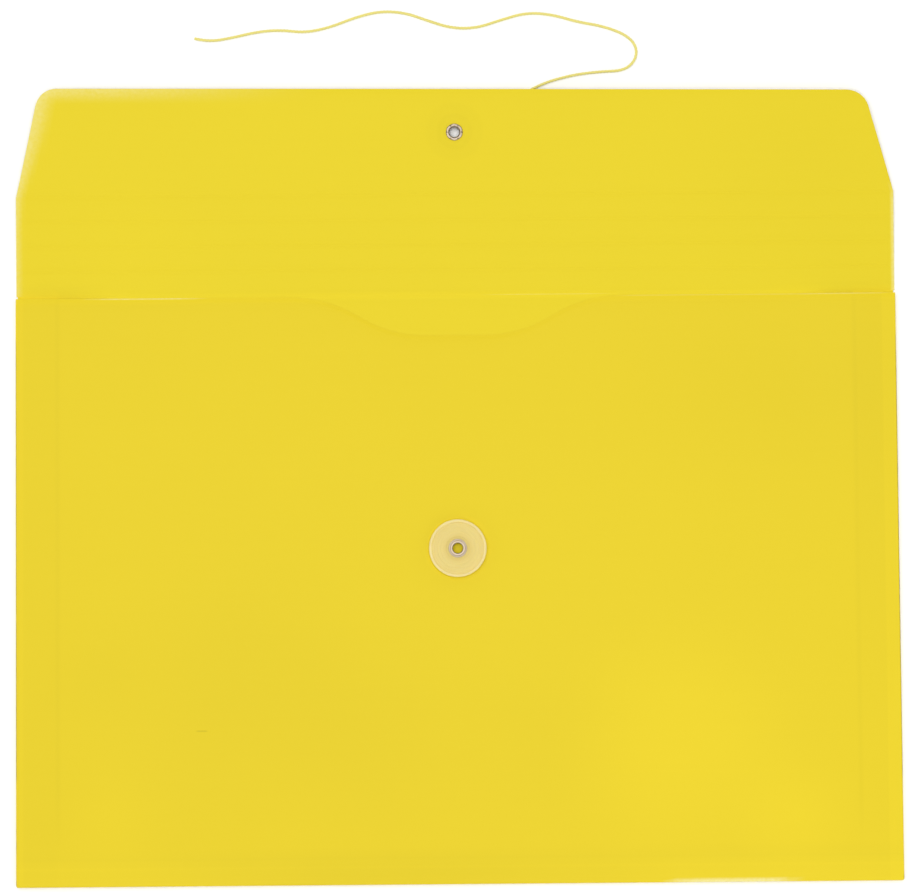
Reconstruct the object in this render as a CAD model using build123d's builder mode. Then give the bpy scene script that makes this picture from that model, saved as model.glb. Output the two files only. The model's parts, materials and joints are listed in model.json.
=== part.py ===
"""String tie envelope: an expanding polypropylene pocket with a scored flap, two button closures
and a tie string, lying open on its back. Millimetres, X across, Y up the flap, Z up."""

import os
from math import asin, cos, degrees, pi, radians, sin, tan

from build123d import *

# Pocket sheet and its folds
sheet = 0.5
leaf_gap = 0.1
pocket_width = 368.3
pocket_height = 245.5
gusset_depth = 17.5
mitre_gap = 0.3
weld_tab_width = 6.0
tab_end_gap = 0.3
pocket_corner_radius = 2.0
fold_round = 0.35
front_setback = 0.6

# Thumb notch in the front panel
notch_floor_width = 52.8
notch_depth = 16.4
notch_flank_angle = 30.0
notch_floor_round_share = 0.42
notch_shoulder_round_share = 0.46

# Flap
flap_height = 86.0
score_pitch = 10.5
strip_count = 4
score_gap = 0.2
score_depth = 0.15
lid_taper_angle = 14.0
lid_corner_radius = 9.4

# Button closures, one on the pocket and one behind the flap
button_diameter = 24.0
hub_diameter = 12.0
disc_thickness = 0.8
rim_width = 1.1
rim_rise = 0.2
rim_bevel = 0.25
ring_diameter = 18.6
ring_step = 0.1
pocket_button_drop = 106.3
flap_button_reach = 68.3

# Eyelets that rivet the buttons
bore_diameter = 4.2
eyelet_wall = 0.3
head_diameter = 7.7
head_rise = 0.45
clinch_diameter = 7.1
clinch_rise = 0.55
barrel_clearance = 0.05
roll_facets = 5
split_count = 6
split_width = 0.35
split_depth_share = 0.8

# Tie string
string_diameter = 1.2
string_sides = 8
string_clearance = 0.1
floor_gap = 0.05
loop_turn = 315.0
leave_angle = -46.0
lead_length = 12.3
arc_share = 0.45
sample_count = 200
clear_turn_share = 0.8

# Free string, from the hub's centre: X, Y and height above the lie of the string on the floor
string_route = [
    (23.5, 12.7, 0.7),
    (36.0, 20.4, 0.1),
    (49.5, 24.2, 0.0),
    (61.5, 25.6, 0.0),
    (71.6, 25.9, 0.0),
    (76.6, 30.2, 0.0),
    (77.2, 36.2, 0.0),
    (72.6, 41.2, 0.0),
    (63.0, 44.9, 0.0),
    (52.0, 46.8, 0.0),
    (42.0, 49.9, 0.0),
    (31.0, 50.9, 0.0),
    (20.2, 47.9, 0.0),
    (9.6, 44.4, 0.0),
    (-1.0, 44.5, 0.0),
    (-11.0, 47.8, 0.0),
    (-20.0, 51.1, 0.0),
    (-30.5, 52.0, 0.0),
    (-41.0, 49.5, 0.0),
    (-52.0, 45.2, 0.0),
    (-62.6, 43.0, 0.0),
    (-73.0, 44.3, 0.0),
    (-83.0, 43.5, 0.0),
    (-94.0, 40.9, 0.0),
    (-103.4, 39.5, 0.0),
    (-109.1, 40.9, 0.0),
]

os.makedirs("parts", exist_ok=True)

# Levels of the folded stack, from the table up
rear_leaf_level = sheet + leaf_gap
front_leaf_level = rear_leaf_level + sheet + leaf_gap
tab_level = front_leaf_level + sheet + leaf_gap
front_level = tab_level + sheet
front_face_level = front_level + sheet

# The disc behind the flap stands on the table and lifts the flap by this slope
button_radius = button_diameter / 2
head_radius = head_diameter / 2
hub_height = string_diameter + string_clearance * 2
disc_level = hub_height + disc_thickness
rim_slope = (disc_level + rim_rise + floor_gap) / (flap_button_reach - button_radius)
head_slope = (disc_level + head_rise + floor_gap) / (flap_button_reach - head_radius)
flap_slope = degrees(asin(max(rim_slope, head_slope)))
rise = sin(radians(flap_slope))
run = cos(radians(flap_slope))

# Places in plan: the origin is the middle of the whole outline, on the table
half_width = pocket_width / 2
crease_y = (pocket_height - flap_height * run) / 2
bottom_y = crease_y - pocket_height
mouth_y = crease_y - front_setback
lid_start = strip_count * score_pitch

# Planes of the flap: its inner face, and its section seen along the creases
crease_point = (0, crease_y, sheet)
flap_plane = Plane(origin=crease_point, x_dir=(1, 0, 0), z_dir=(0, -rise, run))
flap_section = Plane(origin=crease_point, x_dir=(0, run, rise), z_dir=(1, 0, 0))

# Planes of the closures: on the outer face of their sheet, looking out
pocket_closure = Plane(
    origin=(0, crease_y - pocket_button_drop, front_face_level),
    x_dir=(1, 0, 0),
    z_dir=(0, 0, 1),
)
flap_closure = Plane(
    origin=flap_plane.from_local_coords((0, flap_button_reach, -sheet)),
    x_dir=(1, 0, 0),
    z_dir=-flap_plane.z_dir,
)
closures = {"pocket": pocket_closure, "flap": flap_closure}
barrel_radius = bore_diameter / 2 + eyelet_wall
barrel_hole = barrel_radius + barrel_clearance


def section_of(closure):
    """Radial section of a closure: local X runs out from its axis, local Y away from its sheet."""
    return Plane(origin=closure.origin, x_dir=closure.x_dir, z_dir=-closure.y_dir)


# Back panel, with half of the first score along its top edge
with BuildPart() as back_panel:
    with BuildSketch(Plane.XY):
        with BuildLine():
            FilletPolyline(
                (-half_width, bottom_y),
                (half_width, bottom_y),
                (half_width, crease_y - score_gap / 2),
                (-half_width, crease_y - score_gap / 2),
                radius=[pocket_corner_radius, pocket_corner_radius, 0, 0],
                close=True,
            )
        make_face()
    extrude(amount=sheet)
    inner_edges = back_panel.faces().sort_by(Axis.Z)[-1].edges()
    chamfer(inner_edges.sort_by(Axis.Y)[-1], score_depth)
    outer_edges = back_panel.faces().sort_by(Axis.Z)[0].edges()
    fillet(outer_edges.sort_by(Axis.Y)[:-1], fold_round)
back_panel.part.label = "back_panel"
export_step(back_panel.part, "parts/back_panel.step")

# Front panel, with the thumb notch in its mouth and a hole for the eyelet
notch_fall = radians(notch_flank_angle)
notch_flank = notch_depth / sin(notch_fall)
notch_floor_half = notch_floor_width / 2
notch_mouth_half = notch_floor_half + notch_depth / tan(notch_fall)
floor_radius = notch_floor_round_share * notch_flank / tan(notch_fall / 2)
shoulder_radius = notch_shoulder_round_share * notch_flank / tan(notch_fall / 2)
with BuildPart() as front_panel:
    with BuildSketch(Plane.XY.offset(front_level)):
        with BuildLine():
            FilletPolyline(
                (-half_width, bottom_y),
                (half_width, bottom_y),
                (half_width, mouth_y),
                (notch_mouth_half, mouth_y),
                (notch_floor_half, mouth_y - notch_depth),
                (-notch_floor_half, mouth_y - notch_depth),
                (-notch_mouth_half, mouth_y),
                (-half_width, mouth_y),
                radius=[
                    pocket_corner_radius,
                    pocket_corner_radius,
                    0,
                    shoulder_radius,
                    floor_radius,
                    floor_radius,
                    shoulder_radius,
                    0,
                ],
                close=True,
            )
        make_face()
        with Locations((pocket_closure.origin.X, pocket_closure.origin.Y)):
            Circle(barrel_hole, mode=Mode.SUBTRACT)
    extrude(amount=sheet)
    face_edges = front_panel.faces().sort_by(Axis.Z)[-1].outer_wire().edges()
    bottom_edges = face_edges.filter_by_position(Axis.Y, bottom_y, bottom_y + pocket_corner_radius)
    fillet(bottom_edges + face_edges.filter_by(Axis.Y), fold_round)
front_panel.part.label = "front_panel"
export_step(front_panel.part, "parts/front_panel.step")

# Side leaves of the bellows fold, mitred at the bottom corners
leaf_levels = {"rear": rear_leaf_level, "front": front_leaf_level}
for side, sign in {"left": -1, "right": 1}.items():
    for layer, level in leaf_levels.items():
        with BuildPart() as side_leaf:
            with BuildSketch(Plane.XY.offset(level)):
                with BuildLine():
                    Polyline(
                        (sign * half_width, bottom_y + mitre_gap),
                        (sign * (half_width - gusset_depth), bottom_y + gusset_depth + mitre_gap),
                        (sign * (half_width - gusset_depth), mouth_y),
                        (sign * half_width, mouth_y),
                        close=True,
                    )
                make_face()
            extrude(amount=sheet)
        side_leaf.part.label = f"{side}_{layer}_leaf"
        export_step(side_leaf.part, f"parts/{side}_{layer}_leaf.step")

# Bottom leaves of the bellows fold
for layer, level in leaf_levels.items():
    with BuildPart() as bottom_leaf:
        with BuildSketch(Plane.XY.offset(level)):
            with BuildLine():
                outer_half = half_width - mitre_gap
                inner_half = outer_half - gusset_depth
                Polyline(
                    (-outer_half, bottom_y),
                    (outer_half, bottom_y),
                    (inner_half, bottom_y + gusset_depth),
                    (-inner_half, bottom_y + gusset_depth),
                    close=True,
                )
            make_face()
        extrude(amount=sheet)
    bottom_leaf.part.label = f"bottom_{layer}_leaf"
    export_step(bottom_leaf.part, f"parts/bottom_{layer}_leaf.step")

# Weld tabs that carry the front leaves on the inside of the front panel
tab_height = mouth_y - bottom_y
for side, sign in {"left": -1, "right": 1}.items():
    with BuildPart() as side_tab:
        with BuildSketch(Plane.XY.offset(tab_level)):
            with Locations((sign * (half_width - weld_tab_width / 2), bottom_y + tab_height / 2)):
                Rectangle(weld_tab_width, tab_height)
        extrude(amount=sheet)
        fold_edge = side_tab.edges().filter_by(Axis.Z).sort_by(Axis.Y)[:2].sort_by(Axis.X)
        fillet(fold_edge[0] if sign < 0 else fold_edge[-1], pocket_corner_radius)
    side_tab.part.label = f"{side}_weld_tab"
    export_step(side_tab.part, f"parts/{side}_weld_tab.step")

with BuildPart() as bottom_tab:
    with BuildSketch(Plane.XY.offset(tab_level)):
        with Locations((0, bottom_y + weld_tab_width / 2)):
            Rectangle(pocket_width - (weld_tab_width + tab_end_gap) * 2, weld_tab_width)
    extrude(amount=sheet)
bottom_tab.part.label = "bottom_weld_tab"
export_step(bottom_tab.part, "parts/bottom_weld_tab.step")

# Scored strips of the flap: their section has half a score at each end of the inner face
for number in range(1, strip_count + 1):
    strip_start = (number - 1) * score_pitch + score_gap / 2
    strip_end = number * score_pitch - score_gap / 2
    with BuildPart() as flap_strip:
        with BuildSketch(flap_section):
            with BuildLine():
                Polyline(
                    (strip_start, -sheet),
                    (strip_end, -sheet),
                    (strip_end, -score_depth),
                    (strip_end - score_depth, 0),
                    (strip_start + score_depth, 0),
                    (strip_start, -score_depth),
                    close=True,
                )
            make_face()
        extrude(amount=half_width, both=True)
    flap_strip.part.label = f"flap_strip_{number}"
    export_step(flap_strip.part, f"parts/flap_strip_{number}.step")

# Tapered lid of the flap, with a hole for its eyelet
lid_height = flap_height - lid_start
lid_top_half = half_width - lid_height * tan(radians(lid_taper_angle))
with BuildPart() as flap_lid:
    with BuildSketch(flap_plane):
        with BuildLine():
            FilletPolyline(
                (-half_width, lid_start + score_gap / 2),
                (half_width, lid_start + score_gap / 2),
                (lid_top_half, flap_height),
                (-lid_top_half, flap_height),
                radius=[0, 0, lid_corner_radius, lid_corner_radius],
                close=True,
            )
        make_face()
        with Locations((0, flap_button_reach)):
            Circle(barrel_hole, mode=Mode.SUBTRACT)
    extrude(amount=-sheet)
    scored_face = flap_lid.faces().sort_by(Axis(crease_point, flap_plane.z_dir))[-1]
    chamfer(scored_face.outer_wire().edges().sort_by(Axis.Y)[0], score_depth)
flap_lid.part.label = "flap_lid"
export_step(flap_lid.part, "parts/flap_lid.step")

# Buttons: a moulded disc with a lipped rim on a hub, which leaves a groove for the string
hub_radius = hub_diameter / 2
ring_radius = ring_diameter / 2
rim_level = disc_level + rim_rise
lip_radius = button_radius - rim_width
for name, closure in closures.items():
    with BuildPart() as button:
        with BuildSketch(section_of(closure)):
            with BuildLine():
                Polyline(
                    (barrel_hole, 0),
                    (hub_radius, 0),
                    (hub_radius, hub_height),
                    (button_radius, hub_height),
                    (button_radius, rim_level),
                    (lip_radius, rim_level),
                    (lip_radius - rim_rise, disc_level),
                    (ring_radius, disc_level),
                    (ring_radius - ring_step, disc_level - ring_step),
                    (barrel_hole, disc_level - ring_step),
                    close=True,
                )
            make_face()
        revolve(axis=Axis(closure.origin, closure.z_dir))
        rim_edges = button.edges().filter_by(GeomType.CIRCLE).group_by(SortBy.RADIUS)[-1]
        chamfer(rim_edges, rim_bevel)
    button.part.label = f"{name}_button"
    export_step(button.part, f"parts/{name}_button.step")

# Eyelets: a rolled head on the disc, a barrel through the stack and a split clinch inside the sheet
bore_radius = bore_diameter / 2
clinch_radius = clinch_diameter / 2
head_seat = disc_level - ring_step
split_length = clinch_radius - barrel_radius


def rolled_rim(outer_radius, seat, roll):
    """Section points of a rolled rim, from the bore over its crown to its outer edge on the seat."""
    middle = (bore_radius + outer_radius) / 2
    half_span = (outer_radius - bore_radius) / 2
    points = []
    for facet in range(roll_facets + 1):
        angle = pi * facet / roll_facets
        points.append((middle - half_span * cos(angle), seat + roll * sin(angle)))
    return points


head_points = rolled_rim(head_radius, head_seat, head_rise)
clinch_points = rolled_rim(clinch_radius, -sheet, -clinch_rise)
for name, closure in closures.items():
    with BuildPart() as eyelet:
        with BuildSketch(section_of(closure)):
            with BuildLine():
                Polyline(
                    *head_points,
                    (barrel_radius, head_seat),
                    (barrel_radius, -sheet),
                    *reversed(clinch_points),
                    close=True,
                )
            make_face()
        revolve(axis=Axis(closure.origin, closure.z_dir))
        with BuildSketch(closure.offset(-sheet - clinch_rise)):
            with PolarLocations(barrel_radius + split_length / 2 + eyelet_wall, split_count):
                Rectangle(split_length, split_width)
        extrude(amount=clinch_rise * split_depth_share, mode=Mode.SUBTRACT)
    eyelet.part.label = f"{name}_eyelet"
    export_step(eyelet.part, f"parts/{name}_eyelet.step")

# Tie string: one turn round the hub in the groove, ending where the free length leaves it
string_radius = string_diameter / 2
loop_radius = hub_radius + string_clearance + string_radius
groove_depth = sheet + string_clearance + string_radius
loop_centre = flap_plane.from_local_coords((0, flap_button_reach, -groove_depth))
loop_plane = Plane(origin=loop_centre, x_dir=(1, 0, 0), z_dir=flap_plane.z_dir)
leave_turn = radians(leave_angle)
leave_out = loop_plane.x_dir * cos(leave_turn) + loop_plane.y_dir * sin(leave_turn)
leave_plane = Plane(origin=loop_centre, x_dir=leave_out, z_dir=loop_plane.z_dir)
with BuildPart() as string_loop:
    with BuildSketch(Plane(origin=loop_centre, x_dir=leave_plane.x_dir, z_dir=-leave_plane.y_dir)):
        with Locations((loop_radius, 0)):
            RegularPolygon(string_radius, string_sides)
    revolve(axis=Axis(loop_plane.origin, -loop_plane.z_dir), revolution_arc=loop_turn)
string_loop.part.label = "string_loop"
export_step(string_loop.part, "parts/string_loop.step")

# Free length of the string: straight out of the groove, down to the table and along it
leave_point = leave_plane.from_local_coords((loop_radius, 0, 0))
lead_point = leave_plane.from_local_coords((loop_radius, lead_length, 0))
lie_level = string_radius + floor_gap
route = [leave_point, lead_point]
for across, along, lift in string_route:
    route.append(Vector(loop_centre.X + across, loop_centre.Y + along, lie_level + lift))

bend_radii = []
for before, corner, after in zip(route, route[1:], route[2:]):
    turn = radians((corner - before).get_angle(after - corner))
    shorter_run = min((corner - before).length, (after - corner).length)
    bend_radii.append(arc_share * shorter_run / tan(turn / 2))

with BuildPart() as tie_string:
    with BuildLine() as string_path:
        FilletPolyline(*route, radius=bend_radii)
    string_wire = string_path.wire()
    with BuildSketch(Plane(origin=string_wire @ 0, x_dir=leave_plane.x_dir, z_dir=leave_plane.y_dir)):
        RegularPolygon(string_radius, string_sides)
    sweep()
tie_string.part.label = "tie_string"
export_step(tie_string.part, "parts/tie_string.step")

free_length = string_wire.length
section_area = string_sides * string_radius**2 * sin(2 * pi / string_sides) / 2
loop_length = loop_radius * radians(loop_turn)
print("flap slope", round(flap_slope, 3), "crease y", round(crease_y, 3))
print("bend radii", [round(radius, 1) for radius in bend_radii])
print("least bend radius in diameters", round(min(bend_radii) / string_diameter, 2))
print("free string length", round(free_length, 1), "loop length", round(loop_length, 1))
print("string volume over section times length", round(tie_string.part.volume / (section_area * free_length), 4))
loop_points = []
for sample in range(sample_count + 1):
    angle = radians(leave_angle - loop_turn + clear_turn_share * loop_turn * sample / sample_count)
    loop_points.append(loop_plane.from_local_coords((loop_radius * cos(angle), loop_radius * sin(angle))))
free_points = [string_wire @ (sample / sample_count) for sample in range(sample_count + 1)]
least_distance = min((near - far).length for near in loop_points for far in free_points)
print("least gap of the string to itself", round(least_distance - string_diameter, 2))
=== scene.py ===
"""String tie envelope, dressed for the eye round its packed construction.

The envelope lies open on its back: a pocket with bellows sides, a scored flap, two riveted
button closures and a tie string. Pattern work is in millimetres, Blender's objects in metres.
"""

import json
import logging
import math
from collections.abc import Callable, Sequence
from dataclasses import dataclass, field
from enum import Enum

import bmesh
import bpy
import numpy as np
from mathutils import Matrix, Vector


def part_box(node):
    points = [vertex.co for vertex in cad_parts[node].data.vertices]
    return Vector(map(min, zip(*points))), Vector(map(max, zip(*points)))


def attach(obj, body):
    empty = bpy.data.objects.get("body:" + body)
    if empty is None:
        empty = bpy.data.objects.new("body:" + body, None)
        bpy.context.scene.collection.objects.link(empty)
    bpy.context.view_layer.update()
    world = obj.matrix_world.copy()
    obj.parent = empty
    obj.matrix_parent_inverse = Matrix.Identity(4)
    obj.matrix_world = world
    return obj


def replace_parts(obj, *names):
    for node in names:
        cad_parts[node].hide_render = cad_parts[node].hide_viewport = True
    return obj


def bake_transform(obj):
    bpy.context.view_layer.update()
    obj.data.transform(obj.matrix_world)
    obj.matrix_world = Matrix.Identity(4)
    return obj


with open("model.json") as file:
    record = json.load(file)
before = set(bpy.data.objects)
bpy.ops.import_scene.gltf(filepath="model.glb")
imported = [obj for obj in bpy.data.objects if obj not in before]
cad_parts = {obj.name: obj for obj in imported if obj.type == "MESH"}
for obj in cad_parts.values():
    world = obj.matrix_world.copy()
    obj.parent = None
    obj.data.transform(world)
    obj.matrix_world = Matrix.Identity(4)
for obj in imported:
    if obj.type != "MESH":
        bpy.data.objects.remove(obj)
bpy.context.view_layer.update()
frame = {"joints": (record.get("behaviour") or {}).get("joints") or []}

MM = 0.001
TOUCH = 0.01
SHARP_ANGLE = math.radians(40)
PLACE = "sheet_place"
# Attribute with each vertex's share of painted highlight
PALE = "edge_pale"

log = logging.getLogger("string_tie_envelope")

Point = tuple[float, float]
Spot = tuple[float, float, float]
Placer = Callable[[float, float, float], Spot]
Rim = Callable[[float, float], float]


def linear(colour: str) -> tuple[float, float, float, float]:
    """Turn an sRGB hex colour into linear light.

    Args:
        colour: six hex digits after a hash sign.

    Returns:
        Red, green, blue and an alpha of one.
    """
    shares = [int(colour[i : i + 2], 16) / 255 for i in (1, 3, 5)]
    red, green, blue = (s / 12.92 if s <= 0.04045 else ((s + 0.055) / 1.055) ** 2.4 for s in shares)
    return red, green, blue, 1.0


def add_node(
    tree: bpy.types.NodeTree,
    kind: str,
    settings: dict | None = None,
    links: dict | None = None,
    out: int | str = 0,
) -> bpy.types.NodeSocket:
    """Add one shader node to a tree.

    Args:
        tree: the node tree that gets it.
        kind: Blender's name for the type of node, after ShaderNode.
        settings: the node's own properties, or its input sockets, by name or index.
        links: output sockets to join to its inputs, by the input's name or index.
        out: the output that is wanted, by name or index.

    Returns:
        That output socket of the new node.
    """
    node = tree.nodes.new(f"ShaderNode{kind}")
    for key, value in (settings or {}).items():
        if isinstance(key, str) and hasattr(node, key):
            setattr(node, key, value)
        else:
            node.inputs[key].default_value = value
    for key, source in (links or {}).items():
        tree.links.new(source, node.inputs[key])
    return node.outputs[out]


def start_material(name: str, sockets: dict) -> tuple[bpy.types.Material, bpy.types.Node]:
    """Make a material with a Principled shader.

    Args:
        name: the material's name.
        sockets: values that are the same all over the surface, by the shader's socket.

    Returns:
        The material and its shader.
    """
    material = bpy.data.materials.new(name)
    material.use_nodes = True
    shader = material.node_tree.nodes["Principled BSDF"]
    for socket, value in sockets.items():
        shader.inputs[socket].default_value = value
    return material, shader


def soft_edge(middle: float, blur: float, before: float = 0.0, after: float = 1.0) -> dict:
    """Describe a smooth change of value across an edge.

    Args:
        middle: where the edge lies.
        blur: how wide the change is.
        before: the value below the edge.
        after: the value above it.

    Returns:
        The ranges that a value is mapped between.
    """
    return {
        "interpolation_type": "SMOOTHSTEP",
        "From Min": middle - blur / 2,
        "From Max": middle + blur / 2,
        "To Min": before,
        "To Max": after,
    }


def smooth_step(low: float, high: float, value: float) -> float:
    """Rise smoothly from 0 at low to 1 at high."""
    share = min(max((value - low) / (high - low), 0.0), 1.0)
    return share * share * (3 - 2 * share)


def spaced(points: Sequence[Point], limit: float) -> list[Point]:
    """Add points to a line so that no run is longer than a limit.

    Args:
        points: the line's corners.
        limit: the longest run allowed.

    Returns:
        The line with the added points.
    """
    line = [points[0]]
    for start, end in zip(points, points[1:]):
        count = max(1, math.ceil(math.dist(start, end) / limit))
        for step in range(1, count + 1):
            share = step / count
            line.append((start[0] + (end[0] - start[0]) * share, start[1] + (end[1] - start[1]) * share))
    return line


def rounded(corners: Sequence[Spot], steps: int, closed: bool = False) -> list[Point]:
    """Round the corners of a line with arcs.

    Args:
        corners: across, along and corner radius of each corner.
        steps: straight pieces in each arc.
        closed: whether the last corner joins the first.

    Returns:
        The points of the rounded line.
    """
    line: list[Point] = []
    count = len(corners)
    for index, (x, y, radius) in enumerate(corners):
        if radius <= 0 or (not closed and index in (0, count - 1)):
            line.append((x, y))
            continue
        corner = Vector((x, y))
        back = (Vector(corners[index - 1][:2]) - corner).normalized()
        ahead = (Vector(corners[(index + 1) % count][:2]) - corner).normalized()
        half = back.angle(ahead) / 2
        centre = corner + (back + ahead).normalized() * (radius / math.sin(half))
        start = corner + back * (radius / math.tan(half)) - centre
        end = corner + ahead * (radius / math.tan(half)) - centre
        turn = start.angle_signed(end)
        for step in range(steps + 1):
            arm = start.copy()
            arm.rotate(Matrix.Rotation(-turn * step / steps, 2))
            line.append((centre.x + arm.x, centre.y + arm.y))
    return line


def finish_mesh(
    name: str, vertices: Sequence[Sequence[float]], faces: Sequence[Sequence[int]]
) -> bpy.types.Object:
    """Make a closed, smooth-shaded piece with its normals outwards.

    Args:
        name: the piece's name.
        vertices: places in metres.
        faces: corner numbers of each face.

    Returns:
        The piece, linked to the scene.
    """
    mesh = bpy.data.meshes.new(name)
    mesh.from_pydata([tuple(v) for v in vertices], [], [tuple(f) for f in faces])
    shell = bmesh.new()
    shell.from_mesh(mesh)
    bmesh.ops.recalc_face_normals(shell, faces=shell.faces)
    shell.to_mesh(mesh)
    shell.free()
    mesh.polygons.foreach_set("use_smooth", [True] * len(mesh.polygons))
    mesh.set_sharp_from_angle(angle=SHARP_ANGLE)
    piece = bpy.data.objects.new(name, mesh)
    bpy.context.scene.collection.objects.link(piece)
    return piece


def store(piece: bpy.types.Object, name: str, kind: str, values: Sequence) -> None:
    """Keep a value for each vertex of a piece, which its finish reads.

    Args:
        piece: the piece.
        name: the attribute's name.
        kind: FLOAT for numbers, FLOAT_VECTOR for places.
        values: one value for each vertex.
    """
    attribute = piece.data.attributes.new(name, kind, "POINT")
    key = "vector" if kind == "FLOAT_VECTOR" else "value"
    attribute.data.foreach_set(key, np.array(values, np.float32).ravel())


@dataclass
class SheetPattern:
    """A flat cut of sheet, as a net of small faces that can be given thickness and shape."""

    points: list[Point]
    faces: list[tuple[int, ...]]
    arc_steps: int = 3
    mitre_limit: float = 0.5

    @classmethod
    def ruled(cls, near: Sequence[Point], far: Sequence[Point], shares: Sequence[float]) -> "SheetPattern":
        """Fill the sheet between two edges that have the same number of points.

        Args:
            near: one edge.
            far: the opposite edge.
            shares: how far each row lies from the near edge to the far one.

        Returns:
            The filled pattern.
        """
        points = [
            (a[0] + (b[0] - a[0]) * share, a[1] + (b[1] - a[1]) * share)
            for share in shares
            for a, b in zip(near, far)
        ]
        width = len(near)
        faces = []
        for row in range(len(shares) - 1):
            for column in range(width - 1):
                first = row * width + column
                faces.append((first, first + 1, first + 1 + width, first + width))
        pattern = cls(points, faces)
        if pattern.turn() < 0:
            pattern.faces = [face[::-1] for face in faces]
        return pattern

    def turn(self) -> float:
        """Twice the signed area of the pattern's first face."""
        loop = [self.points[i] for i in self.faces[0]]
        return sum(a[0] * b[1] - b[0] * a[1] for a, b in zip(loop, loop[1:] + loop[:1]))

    def edges(self) -> dict[int, int]:
        """Next vertex along the pattern's edges, by vertex, with the sheet to the left."""
        sides = {(a, b) for face in self.faces for a, b in zip(face, face[1:] + face[:1])}
        return {a: b for a, b in sides if (b, a) not in sides}

    def punch(self, centre: Point, radius: float, reach: float) -> None:
        """Cut a round hole, with the net round it drawn to its edge.

        Args:
            centre: the middle of the hole.
            radius: the hole's radius.
            reach: how far out the net is taken away and drawn anew.
        """
        before = set(self.edges().items())

        def middle(face: tuple[int, ...]) -> Point:
            """Middle of a face."""
            return tuple(sum(self.points[i][k] for i in face) / len(face) for k in (0, 1))

        self.faces = [face for face in self.faces if math.dist(middle(face), centre) > reach]
        ring = [(a, b) for a, b in self.edges().items() if (a, b) not in before]
        inner = {}
        for a, _ in ring:
            angle = math.atan2(self.points[a][1] - centre[1], self.points[a][0] - centre[0])
            inner[a] = len(self.points)
            self.points.append((centre[0] + radius * math.cos(angle), centre[1] + radius * math.sin(angle)))
        self.faces += [(b, a, inner[a], inner[b]) for a, b in ring]

    def outward(self) -> dict[int, Vector]:
        """Direction out of the sheet at each vertex on its edges."""
        after = self.edges()
        before = {b: a for a, b in after.items()}
        found = {}
        for here, ahead in after.items():
            runs = [Vector(self.points[ahead]) - Vector(self.points[here])]
            runs.append(Vector(self.points[here]) - Vector(self.points[before[here]]))
            sides = [Vector((run.y, -run.x)).normalized() for run in runs]
            both = (sides[0] + sides[1]).normalized()
            found[here] = both / max(both.dot(sides[0]), self.mitre_limit)
        return found

    def solid(
        self, name: str, thickness: float, place: Placer, rim: Rim, pale: Rim | None = None
    ) -> bpy.types.Object:
        """Give the pattern its thickness, round its cut edges and set it in place.

        Args:
            name: the piece's name.
            thickness: the sheet's thickness.
            place: turns across, along and height above the middle of the sheet into a place.
            rim: radius of the rounded edge at each point of the outline.
            pale: how strongly the painted highlight shows at each point, from 0 to 1.

        Returns:
            The piece.
        """
        half = thickness / 2
        used = sorted({i for face in self.faces for i in face})
        outward = self.outward()
        flat: list[Spot] = []
        chains: dict[int, list[int]] = {}
        arc = [math.pi / 2 * step / self.arc_steps for step in range(self.arc_steps + 1)]
        for i in used:
            x, y = self.points[i]
            if i not in outward:
                chains[i] = [len(flat), len(flat) + 1]
                flat += [(x, y, half), (x, y, -half)]
                continue
            radius = rim(x, y)
            section = [(radius * (math.sin(t) - 1), half - radius * (1 - math.cos(t))) for t in arc]
            section += [(out, -height) for out, height in reversed(section)]
            chains[i] = list(range(len(flat), len(flat) + len(section)))
            flat += [(x + outward[i].x * out, y + outward[i].y * out, height) for out, height in section]
        faces = [tuple(chains[i][0] for i in face) for face in self.faces]
        faces += [tuple(chains[i][-1] for i in reversed(face)) for face in self.faces]
        for here, ahead in self.edges().items():
            sides = list(zip(chains[here], chains[ahead]))
            faces += [(a, b, d, c) for (a, c), (b, d) in zip(sides, sides[1:])]
        piece = finish_mesh(name, [Vector(place(*spot)) * MM for spot in flat], faces)
        store(piece, PLACE, "FLOAT_VECTOR", flat)
        store(piece, PALE, "FLOAT", [pale(x, y) if pale else 0.0 for x, y, _ in flat])
        return piece


@dataclass(frozen=True)
class EnvelopeSizes:
    """Sizes and places of the envelope in millimetres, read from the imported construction."""

    half_width: float
    bottom: float
    mouth: float
    crease: float
    sheet: float
    slope: float
    scores: tuple[float, ...]
    flap_height: float
    gusset_depth: float
    opening: float
    front_level: float
    levels: dict[str, float]

    @classmethod
    def from_frame(cls) -> "EnvelopeSizes":
        """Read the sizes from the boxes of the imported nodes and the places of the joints."""
        pivots = {joint["name"]: Vector(joint["pos_m"]) / MM for joint in frame["joints"]}
        limits = {joint["name"]: joint["range_deg"] for joint in frame["joints"]}
        back_low, back_high = (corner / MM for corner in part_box("back_panel"))
        front_low, front_high = (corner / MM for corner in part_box("front_panel"))
        creases = [pivots[f"flap_crease_{number}"] for number in range(1, 6)]
        rise = creases[-1] - creases[0]
        slope = math.atan2(rise.z, rise.y)
        sheet = back_high.z - back_low.z
        lid_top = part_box("flap_lid")[1].y / MM
        return cls(
            half_width=back_high.x,
            bottom=back_low.y,
            mouth=front_high.y,
            crease=creases[0].y,
            sheet=sheet,
            slope=slope,
            scores=tuple((place - creases[0]).length for place in creases),
            flap_height=(lid_top - creases[0].y - sheet * math.sin(slope)) / math.cos(slope),
            gusset_depth=back_high.x - abs(pivots["left_inner_fold"].x),
            opening=math.radians(limits["pocket_expand"][1]),
            front_level=(front_low.z + front_high.z) / 2,
            levels={
                "rear": pivots["pocket_expand"].z,
                "inner": pivots["left_inner_fold"].z,
                "front": pivots["front_edge_fold"].z,
            },
        )


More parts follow.
